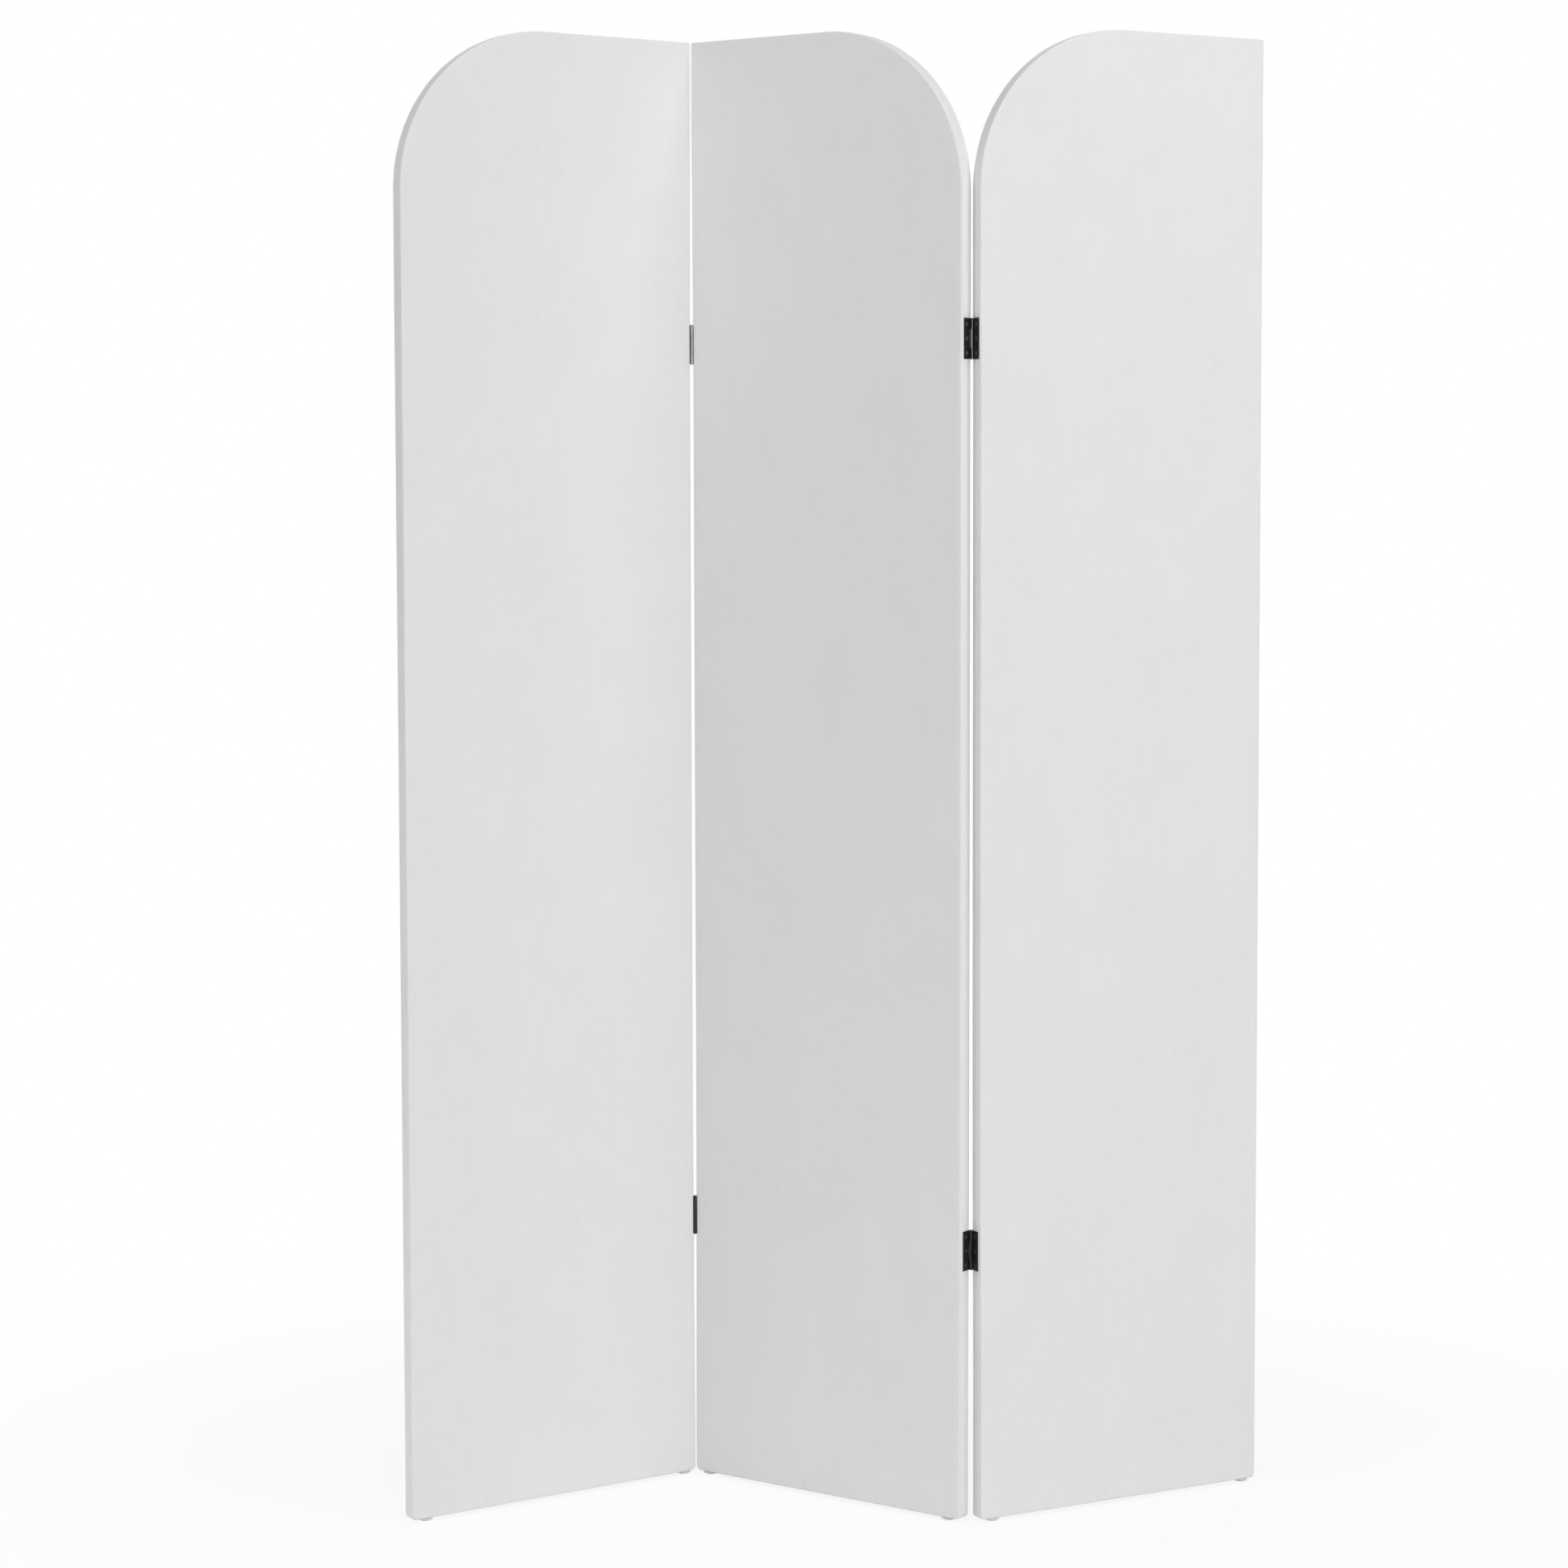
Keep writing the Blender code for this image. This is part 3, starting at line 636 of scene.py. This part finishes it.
def end_padding(sizes, side, end, heights, depths):
    """How far the padding stands out of one end, for each depth behind the front face and height.

    It follows the fold's table. The hinge leaves press it down to less than the fit, and it is
    free again 1.5 mm past a leaf's edge and 0.9 mm above and below it.
    """
    for fold, (pin_side, outer, middle) in FOLD_ENDS.items():
        if (side, end) not in (outer, middle):
            continue
        table = np.array(END_PADDING[fold])
        amount = np.tile(np.interp(heights, table[:, 0], table[:, 1]), (len(depths), 1))
        from_pins = depths if pin_side == "front" else sizes.panel_thickness - depths
        beyond = smoothstep(from_pins, sizes.leaf_reach, sizes.leaf_reach + 0.0015)[:, None]
        for height in hinge_heights(sizes).values():
            away = np.abs(heights - height) - sizes.leaf_height / 2
            free = np.maximum(smoothstep(away, 0.0002, 0.0009)[None, :], beyond)
            amount = free * amount + (1.0 - free) * np.minimum(amount, sizes.fit - 0.0001)
        return amount
    return np.zeros((len(depths), len(heights)))


def panel_rows(sizes, side):
    """The heights of the rows, and for each end of the panel how its outline runs at them."""
    inset = sizes.edge_rounding
    tops = {"left": sizes.square_corner, "right": sizes.square_corner}
    tops[ROUND_SIDES[side]] = sizes.round_corner
    z = row_heights(sizes, tuple(tops.values()), inset)
    return z, {
        end: side_of_outline(z, sizes.bottom_corner, top, sizes.panel_height, inset)
        for end, top in tops.items()
    }


def border_ways(ends, columns):
    """The way out, across and up, at each border point: bottom, right, top and left side."""
    (_, out_left, up_left), (_, out_right, up_right) = ends["left"], ends["right"]
    return np.vstack(
        [
            np.tile((0.0, -1.0), (columns, 1)),
            np.column_stack([out_right, up_right])[1:],
            np.tile((0.0, 1.0), (columns - 1, 1)),
            np.column_stack([-out_left, up_left])[-2:0:-1],
        ]
    )


def wrapped_edge(sizes, side, face, z, columns, way):
    """How the border is carried over the panel's edge, as one row of points for each step.

    Gives the distances out of the inset outline, the depths behind the face, and the length of
    cloth from the face to each step. The steps are those of the edge profile. At a fold the
    padding swells them, and they are squared where this face carries the fold's pins.
    """
    seam = sizes.seam_from_front - sizes.seam_gap / 2
    if face == "back":
        seam = sizes.panel_thickness - sizes.seam_from_front - sizes.seam_gap / 2
    profile = cover_profile(sizes, seam)
    run = np.cumsum(np.hypot(*np.diff(profile[:, :2], axis=0, prepend=0.0).T))[:-1]
    out, back, reach, squared_out, squared_back = profile[:-1].T[:, :, None]
    depths = back[:, 0] if face == "front" else sizes.panel_thickness - back[:, 0]
    bulge, squared = np.zeros((len(depths), len(way))), np.zeros(len(way))
    on_end = {
        "right": slice(columns, columns + len(z) - 1),
        "left": slice(2 * columns + len(z) - 2, None),
    }
    bulge[:, on_end["right"]] = end_padding(sizes, side, "right", z, depths)[:, 1:]
    bulge[:, on_end["left"]] = end_padding(sizes, side, "left", z, depths)[:, -2:0:-1]
    for pin_side, *hinged in FOLD_ENDS.values():
        for panel, end in hinged:
            if (panel, pin_side) == (side, face):
                squared[on_end[end]] = 1.0
    level = way[None, :, 0] ** 2
    out = out + level * (reach * bulge + squared_out * squared)
    return out, back + level * squared_back * squared, run


def cover_mesh(sizes, side, face, place):
    """One face of a panel and its wrapped edges as a closed shell of velvet and wadding.

    The face is a grid: row j at height z_j runs evenly from the outline's left to its right. Its
    border is carried along the edge profile, out along the outline's own normal and back through
    the panel's thickness to the seam, then round to the inner face.
    """
    z, ends = panel_rows(sizes, side)
    left, right = ends["left"][0], sizes.panel_width - ends["right"][0]
    share = np.linspace(0.0, 1.0, 53)
    columns, rows = len(share), len(z)
    x = left[:, None] + (right - left)[:, None] * share
    heights = np.repeat(z[:, None], columns, axis=1)

    above, below = heights - z[0], z[-1] - heights
    from_edge = np.minimum.reduce([x - left[:, None], right[:, None] - x, above, below])
    seed = 10 * SIDES.index(side) + FACES.index(face)
    proud, sunk, taut_rim = 0.0002, 0.0004, 0.018
    slack = np.clip(sizes.ripple * (0.35 + ripples(x, heights, seed)), -proud, sunk)
    depth = slack * smoothstep(from_edge, 0.0, taut_rim)
    outer = np.stack([x, depth, heights], axis=-1).reshape(-1, 3)
    inner = outer * (1.0, 0.0, 1.0) + (0.0, sizes.cover_thickness, 0.0)

    index = np.arange(rows * columns).reshape(rows, columns)
    border = np.concatenate([index[0, :], index[1:, -1], index[-1, -2::-1], index[-2:0:-1, 0]])
    way = border_ways(ends, columns)
    out, back, run = wrapped_edge(sizes, side, face, z, columns, way)
    base = outer[border][:, [0, 2]]
    across, up = np.moveaxis(base + out[:, :, None] * way, -1, 0)
    wrapped = np.stack([across, back, up], axis=-1).reshape(-1, 3)
    unrolled = (base + run[:, None, None] * way).reshape(-1, 2)
    cloth = np.vstack([outer[:, [0, 2]], unrolled, inner[:, [0, 2]]])
    cloth[:, 0] += BOLT_WIDTH * (2 * SIDES.index(side) + FACES.index(face))

    points = np.vstack([outer, wrapped, inner])
    first, last = len(outer), len(outer) + len(wrapped)
    steps = first + np.arange(len(wrapped)).reshape(-1, len(border))
    loops = np.vstack([border, steps, last + border])
    following = np.roll(loops, -1, axis=1)
    band = np.stack([loops[:-1], loops[1:], following[1:], following[:-1]], axis=-1).reshape(-1, 4)
    inside = grid_quads(rows, columns, first=last)[:, ::-1]
    quads = np.vstack([grid_quads(rows, columns), band, inside])
    if face == "back":
        points[:, 1] = sizes.panel_thickness - points[:, 1]
        quads = quads[:, ::-1]
    return mesh_of(f"{side}_{face}_velvet", into_world(points, place), quads, cloth)


# Hinges


def hole_surround(radius, rim, half, per_side):
    """Rings from a round hole out to the square round it, in the plane, counter-clockwise.

    Each spoke runs from the hole's edge along its own direction to the rim of the countersink,
    and then straight to its point of the square.
    """
    side, still = np.linspace(-half, half, per_side + 1)[:-1], np.full(per_side, half)
    corners = ((side, -still), (still, side), (-side, still), (-still, -side))
    square = np.vstack([np.column_stack(pair) for pair in corners])
    spoke = square / np.linalg.norm(square, axis=1)[:, None]
    steps = [spoke * r for r in np.linspace(radius, rim, 4)]
    rings = np.stack([*steps, (spoke * rim + square) / 2, square])
    return rings.reshape(-1, 2), grid_quads(len(rings), len(square), around=True)


def leaf_strip(sizes, bands, hole, rim):
    """The middle surface of a hinge leaf, rolled from one strip, with its screw holes.

    The strip's line runs straight from the free edge to beside the pin and then round it as a
    circle, back to a thin gap. It is carried up the leaf's height, and the circle is left out
    between the bands of height that hold a knuckle. Round each screw the grid gives way to rings.
    """
    wall, outer = sizes.leaf_thickness, sizes.knuckle_radius
    mid, half = outer - wall / 2, sizes.leaf_height / 2
    half_square, per_side = 0.0029, 10
    across = np.linspace(-half_square, half_square, per_side + 1)
    beside = sizes.screw_from_pin + across
    notch = math.sqrt((outer + sizes.knuckle_gap) ** 2 - (outer - wall) ** 2)
    flat = [notch, *np.linspace(notch, beside[0], 4), *beside, sizes.leaf_reach]
    flat = np.unique(flat)[::-1]
    roll_end = -math.degrees(math.asin((outer - wall - sizes.fit) / outer))
    roll = arc(0.0, 0.0, mid, 270.0, roll_end, 48)
    path = np.vstack([np.column_stack([flat, np.full(len(flat), -mid)]), roll])
    screws = screw_heights(sizes)
    levels = np.concatenate([*(height + across for height in screws), *bands, [-half, half]])
    levels = np.unique(np.round(levels, 7))
    grid = [np.tile(path, (len(levels), 1)), np.repeat(levels, len(path))]
    all_points = [np.column_stack(grid)]
    quads = grid_quads(len(levels), len(path)).reshape(len(levels) - 1, len(path) - 1, 4)
    middle_z = (levels[1:] + levels[:-1])[:, None] / 2
    middle_x = (path[1:, 0] + path[:-1, 0])[None, :] / 2
    flat_cells = np.arange(len(path) - 1) < len(flat) - 1
    in_band = np.any([(middle_z > low) & (middle_z < high) for low, high in bands], axis=0)
    kept = flat_cells | in_band
    for height in screws:
        aside = np.maximum(np.abs(middle_x - sizes.screw_from_pin), np.abs(middle_z - height))
        kept &= ~flat_cells | (aside >= half_square)
    all_quads = [quads[kept]]
    rings, ring_quads = hole_surround(hole, rim, half_square, per_side)
    for k, height in enumerate(screws):
        x, z = rings.T + np.array([[sizes.screw_from_pin], [height]])
        all_quads.append(ring_quads + len(all_points[0]) + k * len(rings))
        all_points.append(np.column_stack([x, np.full(len(rings), -mid), z]))
    points, quads = np.vstack(all_points), np.vstack(all_quads)
    used, faces = np.unique(quads, return_inverse=True)
    return weld(mesh_of("leaf_strip", points[used], faces.reshape(quads.shape)), 2e-6)


def rolled_leaf(sizes, bands):
    """A hinge leaf with knuckles in the bands: +X away from the pin, -Y against the panel's end.

    The strip is thickened and its edges eased. The inner face sinks round each screw by the
    distance inside the countersink's rim.
    """
    wall, easing, hole_play, rim_play = sizes.leaf_thickness, 0.00012, 0.0002, 0.00012
    hole, rim = sizes.shank_radius + hole_play, sizes.head_radius + rim_play
    strip = helper(leaf_strip(sizes, bands, hole, rim))
    sheet = strip.modifiers.new("sheet", "SOLIDIFY")
    sheet.thickness, sheet.offset, sheet.use_even_offset = wall, 0.0, True
    eased = strip.modifiers.new("eased edges", "BEVEL")
    eased.width, eased.segments = easing, 2
    eased.limit_method, eased.angle_limit = "ANGLE", math.radians(60)
    mesh = evaluated_mesh(strip)
    points = mesh_points(mesh)
    x, y, z = points.T
    from_pin = x - sizes.screw_from_pin
    from_hole = np.min([np.hypot(from_pin, z - height) for height in screw_heights(sizes)], axis=0)
    through = np.clip((y + sizes.knuckle_radius) / wall, 0.0, 1.0)
    points[:, 1] -= through * np.clip(rim - from_hole, 0.0, wall * 0.9)
    set_points(mesh, points)
    return mesh


def screw_heights(sizes):
    """How high a leaf's three screws lie above its middle."""
    return [(k - 1) * sizes.screw_spacing for k in range(3)]


def pin_mesh(sizes):
    """Riveted pin: a domed head beyond each end of the barrel, each dome a shallow circle's cap."""
    shoulder = sizes.leaf_height / 2 + sizes.knuckle_gap
    head, rise = sizes.pin_head_radius, sizes.pin_head_height + sizes.fit - sizes.knuckle_gap
    dome_radius = (head**2 + rise**2) / (2 * rise)
    rim = math.degrees(math.acos(head / dome_radius))
    cap = arc(0.0, shoulder + rise - dome_radius, dome_radius, 90.0, rim, 10)
    cap[0, 0] = 0.0
    upper = np.vstack([cap, [[sizes.pin_radius, shoulder]]])
    lower = upper[::-1] * (1.0, -1.0)
    return turned_mesh("hinge_pin", np.vstack([upper, lower]), 40)


def recess_depth(x, y):
    """Depth of a screw head's cross recess: one smooth step across an arm times one along it."""
    deepest, half_width, reach = 0.00085, (0.00026, 0.00046), (0.0009, 0.00155)
    wall = 1.0 - smoothstep(np.minimum(np.abs(x), np.abs(y)), *half_width)
    return deepest * wall * (1.0 - smoothstep(np.hypot(x, y), *reach))


def screw_mesh(sizes):
    """Countersunk wood screw, head up: rings from the head's middle to the tip, about Z.

    The head's rings sink into a cross recess. The shank's rings stand out where a helix passes:
    the ridge is a triangle wave of height over pitch less the angle's share of a turn, squared.
    """
    head, shank = sizes.head_radius - 0.00005, sizes.shank_radius
    core, ridge_height = shank - 0.00035, 0.00034
    thread_top, tip = -0.0022, -sizes.screw_length
    steps, rim_rings = 48, 16
    neck = [
        (head, -0.0001),
        (shank + 0.00005, shank - head - 0.00005),
        (core, shank - head - 0.0003),
        (core, thread_top + 0.0002),
    ]
    top = np.column_stack([np.linspace(0.0, head - 0.0001, rim_rings), np.zeros(rim_rings)])
    shaft = np.linspace(thread_top, tip, 76)
    rings = np.vstack([top, neck, np.column_stack([np.full(len(shaft), core), shaft])])
    r, z = (np.repeat(column[:, None], steps, axis=1) for column in rings.T)
    angle = 2 * np.pi * np.arange(steps) / steps
    rows = slice(0, rim_rings)
    z[rows] -= recess_depth(r[rows] * np.cos(angle), r[rows] * np.sin(angle))
    rows = slice(len(rings) - len(shaft), None)
    turn = z[rows] / sizes.thread_pitch - angle / (2 * np.pi)
    ridge = (1.0 - np.abs(2.0 * (turn - np.floor(turn)) - 1.0)) ** 2
    fade = smoothstep(-z[rows], -thread_top, 0.001 - thread_top)
    taper = np.clip((z[rows] - tip) / sizes.screw_tip, 0.0, 1.0) ** 0.8
    r[rows] = (core + ridge_height * ridge * fade) * taper
    points = np.stack([r * np.cos(angle), r * np.sin(angle), z], axis=-1).reshape(-1, 3)
    return weld(mesh_of("screw", points, grid_quads(len(rings), steps, around=True)[:, ::-1]))


def set_wear_and_highlights(mesh, wear):
    """Stores how far the finish shows bare steel, from 0 to 1, at each point of the mesh, for rubbing
    and for painted highlights.
    """
    stored = mesh.attributes.get("wear") or mesh.attributes.new("wear", "FLOAT", "POINT")
    stored.data.foreach_set("value", np.asarray(wear, np.float32))


def barrel_wear_and_highlights(sizes, mesh, pin, role, strips):
    """Rubbing and painted highlight on a leaf's knuckles: full in the strips, fading over 12 degrees
    at their sides.
    """
    radius = sizes.knuckle_radius
    x, y = (mesh_points(mesh)[:, :2] - pin[:2]).T
    azimuth, from_pin = np.degrees(np.arctan2(x, -y)), np.hypot(x, y)
    on_barrel = smoothstep(from_pin, radius - 0.0002, radius - 0.0001) * (from_pin < radius + 0.0002)
    wear = np.full(len(x), HANDLING_WEAR)
    for knuckles, middle, half_width, amount in strips:
        if knuckles == role:
            aside = np.abs((azimuth - middle + 180.0) % 360.0 - 180.0)
            # share of the strip: rubbed steel and painted highlight together
            marked_share = smoothstep(-aside, -half_width - 6.0, -half_width + 6.0)
            wear += (amount - HANDLING_WEAR) * on_barrel * marked_share
    return wear


def hinge_leaves(sizes):
    """Each leaf of each hinge: its hinge, role, panel, axes, origin and its panel's place."""
    places = panel_places(sizes)
    for fold, (pin_side, *hinged) in FOLD_ENDS.items():
        for level, height in hinge_heights(sizes).items():
            for role, (panel, end) in zip(("outer", "middle"), hinged):
                axes, origin = leaf_axes(sizes, end, pin_side)
                origin = origin + (0.0, 0.0, height)
                yield f"{fold}_{level}", role, panel, axes, origin, places[panel]


# Glides


def glide_mesh(sizes):
    """Nail-on glide and its nail, turned: a short straight rim, then a dome to the flat foot.

    The dome is a quarter ellipse from the rim to the foot, as wide as it takes off the radius.
    """
    radius, height = sizes.glide_radius, sizes.glide_height
    nail, top, dome = sizes.nail_radius, sizes.glide_height + sizes.nail_length, sizes.glide_dome
    ease, foot, nail_point = 0.0004, sizes.glide_foot, 2.2 * nail
    turn = np.linspace(0.0, np.pi / 2, 18)
    ellipse = np.column_stack([foot + (radius - foot) * np.cos(turn), dome - dome * np.sin(turn)])
    profile = np.vstack(
        [
            [[0.0, top], [nail, top - nail_point], [nail, height]],
            [[nail + 0.0006, height], [radius * 0.55, height]],
            arc(radius - ease, height - ease, ease, 90.0, 0.0, 5),
            ellipse,
            [[foot * 0.5, 0.0], [0.0, 0.0]],
        ]
    )
    return turned_mesh("glide", profile, 72)


# Operators


class DIVIDER_OT_velvet_covers(bpy.types.Operator):
    """Makes the six velvet covers, each wrapped round its panel's edges to the seam"""

    bl_idname = "divider.velvet_covers"
    bl_label = "Velvet covers"

    def execute(self, context):
        sizes, colours = context.scene.divider_sizes, context.scene.divider_colours
        velvet = velvet_material(colours)
        for side, place in panel_places(sizes).items():
            for face in FACES:
                cover = f"{side}_{face}_cover"
                mesh = cover_mesh(sizes, side, face, place)
                name = f"{side}_{face}_velvet"
                piece = new_piece(cover, mesh, velvet, side, name, sharp_angle=70.0)
        return {"FINISHED"}


class DIVIDER_OT_hinges(bpy.types.Operator):
    """Makes the leaves and pins of the four butt hinges"""

    bl_idname = "divider.hinges"
    bl_label = "Hinges"

    def execute(self, context):
        sizes, colours = context.scene.divider_sizes, context.scene.divider_colours
        steel = steel_material(colours)
        half, middle, gap = sizes.leaf_height / 2, sizes.middle_knuckle / 2, sizes.knuckle_gap
        leaves = {
            "outer": rolled_leaf(sizes, [(-half, -middle), (middle, half)]),
            "middle": rolled_leaf(sizes, [(gap - middle, middle - gap)]),
        }
        pin = pin_mesh(sizes)
        for hinge, role, panel, axes, origin, place in hinge_leaves(sizes):
            strips = BARREL_WEAR_AND_HIGHLIGHTS[hinge]
            name = f"{hinge}_hinge_{role}_leaf"
            mesh = placed_copy(leaves[role], name, axes, origin, place)
            # Each leaf's knuckles get the hinge's strips of rubbed steel and painted highlight
            set_wear_and_highlights(mesh, barrel_wear_and_highlights(sizes, mesh, into_world(origin, place), role, strips))
            new_piece(name, mesh, steel, panel, sharp_angle=25.0)
            if role == "middle":
                name = f"{hinge}_hinge_pin"
                mesh = placed_copy(pin, name, np.eye(3), origin, place)
                # The pin follows its outer knuckles' strip: partly rubbed steel, partly painted
                # highlight
                set_wear_and_highlights(mesh, np.full(len(mesh.vertices), PIN_WEAR_AND_HIGHLIGHT_SHARE * strips[0][3]))
                new_piece(name, mesh, steel, panel)
        return {"FINISHED"}


class DIVIDER_OT_screws(bpy.types.Operator):
    """Makes the hinges' countersunk screws with their cross recesses and threads"""

    bl_idname = "divider.screws"
    bl_label = "Hinge screws"

    def execute(self, context):
        sizes, colours = context.scene.divider_sizes, context.scene.divider_colours
        steel = steel_material(colours)
        screw = screw_mesh(sizes)
        x, y, z = mesh_points(screw).T
        near_rim = smoothstep(np.hypot(x, y), 0.6 * sizes.head_radius, sizes.head_radius)
        below_head = -0.0012
        on_head = z > below_head
        face = sizes.leaf_thickness - sizes.knuckle_radius
        for hinge, role, panel, axes, origin, place in hinge_leaves(sizes):
            # Heads show more bare steel towards the rim, and more on hinges with stronger barrel
            # strips: partly rubbed rims, partly painted highlight
            rim_wear_and_highlight = 0.30 + 0.30 * BARREL_WEAR_AND_HIGHLIGHTS[hinge][0][3]
            set_wear_and_highlights(screw, np.where(on_head, rim_wear_and_highlight * (0.5 + 0.5 * near_rim), SHANK_WEAR))
            for k, along in enumerate(screw_heights(sizes), start=1):
                name = f"{hinge}_hinge_{role}_screw_{k}"
                turn = RECESS_TURNS[panel] + RECESS_STEP * k
                turn += UPPER_RECESS_STEP * hinge.endswith("upper")
                c, s = math.cos(turn), math.sin(turn)
                to_leaf = np.array([[c, 0.0, -s], [-s, 0.0, -c], [0.0, 1.0, 0.0]])
                head = origin + np.array([sizes.screw_from_pin, face, along]) @ axes
                mesh = placed_copy(screw, name, to_leaf @ axes, head, place)
                new_piece(name, mesh, steel, panel, sharp_angle=32.0)
        return {"FINISHED"}


class DIVIDER_OT_glides(bpy.types.Operator):
    """Makes the six nail-on glides under the panels"""

    bl_idname = "divider.glides"
    bl_label = "Glides"

    def execute(self, context):
        sizes = context.scene.divider_sizes
        plastic = glide_material(context.scene.divider_colours)
        glide = glide_mesh(sizes)
        for side in SIDES:
            for end in ("left", "right"):
                name = f"{side}_panel_{end}_glide"
                low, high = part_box(name)
                middle = np.array([(low.x + high.x) / 2, (low.y + high.y) / 2, low.z])
                mesh = placed_copy(glide, name, np.eye(3), middle, (np.eye(3), np.zeros(3)))
                new_piece(name, mesh, plastic, side)
        return {"FINISHED"}


class DIVIDER_OT_core(bpy.types.Operator):
    """Gives the hidden frames their pine and the boards their pressed fibre"""

    bl_idname = "divider.core"
    bl_label = "Frames and boards"

    def execute(self, context):
        colours = context.scene.divider_colours
        pine, board = pine_material(colours), hardboard_material(colours)
        for side in SIDES:
            for name, material in (("frame", pine), ("front_board", board), ("back_board", board)):
                piece = frame["nodes"][f"{side}_{name}"]
                piece.data.materials.clear()
                piece.data.materials.append(material)
        return {"FINISHED"}


# Stage


def seen_directly(tree):
    """1 for rays from the camera and for those that metal or glass sends on."""
    ray = node(tree, "ShaderNodeLightPath").outputs
    direct = math_node(tree, "MAXIMUM", ray["Is Camera Ray"], ray["Is Glossy Ray"])
    return math_node(tree, "MAXIMUM", direct, ray["Is Transmission Ray"])


def area_lamp(name, place, target, size, spread, power):
    """A rectangular lamp that faces its target and that the camera doesn't see."""
    light = bpy.data.lights.new(name, "AREA")
    light.shape = "RECTANGLE"
    light.size, light.size_y = size
    light.energy = power
    light.spread = math.radians(spread)
    lamp = bpy.data.objects.new(name, light)
    lamp.location = place
    lamp.rotation_euler = (Vector(target) - Vector(place)).to_track_quat("-Z", "Y").to_euler()
    lamp.visible_camera = False
    bpy.context.scene.collection.objects.link(lamp)


class DIVIDER_OT_stage(bpy.types.Operator):
    """Makes the pale floor, the soft lamps, the white surroundings and the camera"""

    bl_idname = "divider.stage"
    bl_label = "Stage"

    def execute(self, context):
        scene = context.scene
        settings = scene.divider_stage
        self.make_floor(scene)
        self.make_world(scene, settings.ambient)
        for name, lamp in LAMPS.items():
            area_lamp(f"{name}_lamp", *lamp, getattr(settings, f"{name}_power"))
        self.make_camera(scene, settings.lens)
        scene.view_settings.view_transform = "Standard"
        return {"FINISHED"}

    def make_floor(self, scene):
        """A disc round the screen. Seen directly it is mostly plain white, and wholly further out."""
        rings = [(radius, 0.0) for radius in (0.0, *np.geomspace(0.05, 40.0, 40))]
        mesh = turned_mesh("floor", rings, 96)
        floor = bpy.data.objects.new("floor", mesh)
        scene.collection.objects.link(floor)
        material, tree, shader, place = new_material("floor")
        shader.inputs["Base Color"].default_value = (*scene.divider_colours.floor, 1.0)
        shader.inputs["Roughness"].default_value = 0.9
        shader.inputs["Specular IOR Level"].default_value = 0.0
        away = node(tree, "ShaderNodeVectorMath", {0: place}, operation="LENGTH").outputs["Value"]
        near, far, white_share = 0.45, 1.5, 0.86
        faded = remap(tree, away, near, far, white_share, 1.0)
        white = node(tree, "ShaderNodeEmission", {"Color": (1.0, 1.0, 1.0, 1.0), "Strength": 1.0})
        share = math_node(tree, "MULTIPLY", faded, seen_directly(tree))
        inputs = {0: share, 1: shader.outputs[0], 2: white.outputs[0]}
        mixed = node(tree, "ShaderNodeMixShader", inputs)
        tree.links.new(mixed.outputs[0], tree.nodes["Material Output"].inputs["Surface"])
        mesh.materials.append(material)

    def make_world(self, scene, ambient):
        """White where it is seen, and even light of the ambient strength on the divider."""
        world = bpy.data.worlds.new("white_room")
        scene.world = world
        world.use_nodes = True
        tree = world.node_tree
        even = tree.nodes["Background"]
        even.inputs["Color"].default_value = (1.0, 1.0, 1.0, 1.0)
        even.inputs["Strength"].default_value = ambient
        white = node(tree, "ShaderNodeBackground", {"Color": (1.0, 1.0, 1.0, 1.0), "Strength": 1.0})
        inputs = {0: seen_directly(tree), 1: even.outputs[0], 2: white.outputs[0]}
        mixed = node(tree, "ShaderNodeMixShader", inputs)
        tree.links.new(mixed.outputs[0], tree.nodes["World Output"].inputs["Surface"])

    def make_camera(self, scene, lens):
        data = bpy.data.cameras.new("camera")
        data.lens = lens
        data.sensor_width = 36.0
        data.shift_x, data.shift_y = CAMERA_SHIFT
        data.clip_start, data.clip_end = 0.05, 200.0
        camera = bpy.data.objects.new("camera", data)
        camera.location = CAMERA_PLACE
        camera.rotation_euler = (math.radians(CAMERA_TILT), 0.0, 0.0)
        scene.collection.objects.link(camera)
        scene.camera = camera


OPERATORS = (
    DIVIDER_OT_velvet_covers,
    DIVIDER_OT_hinges,
    DIVIDER_OT_screws,
    DIVIDER_OT_glides,
    DIVIDER_OT_core,
    DIVIDER_OT_stage,
)


class VIEW3D_PT_divider(bpy.types.Panel):
    """Sidebar panel with the divider's pieces, sizes and colours"""

    bl_label = "Folding room divider"
    bl_idname = "VIEW3D_PT_divider"
    bl_space_type = "VIEW_3D"
    bl_region_type = "UI"
    bl_category = "Divider"

    def draw(self, context):
        layout = self.layout
        for operator in OPERATORS:
            layout.operator(operator.bl_idname)
        for group in (
            context.scene.divider_sizes,
            context.scene.divider_colours,
            context.scene.divider_stage,
        ):
            column = layout.column(align=True)
            for name in group.bl_rna.properties.keys():
                if name not in ("rna_type", "name"):
                    column.prop(group, name)


CLASSES = (DividerSizes, DividerColours, DividerStage, *OPERATORS, VIEW3D_PT_divider)


def register():
    for cls in CLASSES:
        bpy.utils.register_class(cls)
    bpy.types.Scene.divider_sizes = bpy.props.PointerProperty(type=DividerSizes)
    bpy.types.Scene.divider_colours = bpy.props.PointerProperty(type=DividerColours)
    bpy.types.Scene.divider_stage = bpy.props.PointerProperty(type=DividerStage)


def unregister():
    del bpy.types.Scene.divider_stage
    del bpy.types.Scene.divider_colours
    del bpy.types.Scene.divider_sizes
    for cls in reversed(CLASSES):
        bpy.utils.unregister_class(cls)


def main():
    """Makes the divider and its stage."""
    register()
    bpy.ops.divider.velvet_covers()
    bpy.ops.divider.hinges()
    bpy.ops.divider.screws()
    bpy.ops.divider.glides()
    bpy.ops.divider.core()
    bpy.ops.divider.stage()


if __name__ == "__main__":
    main()
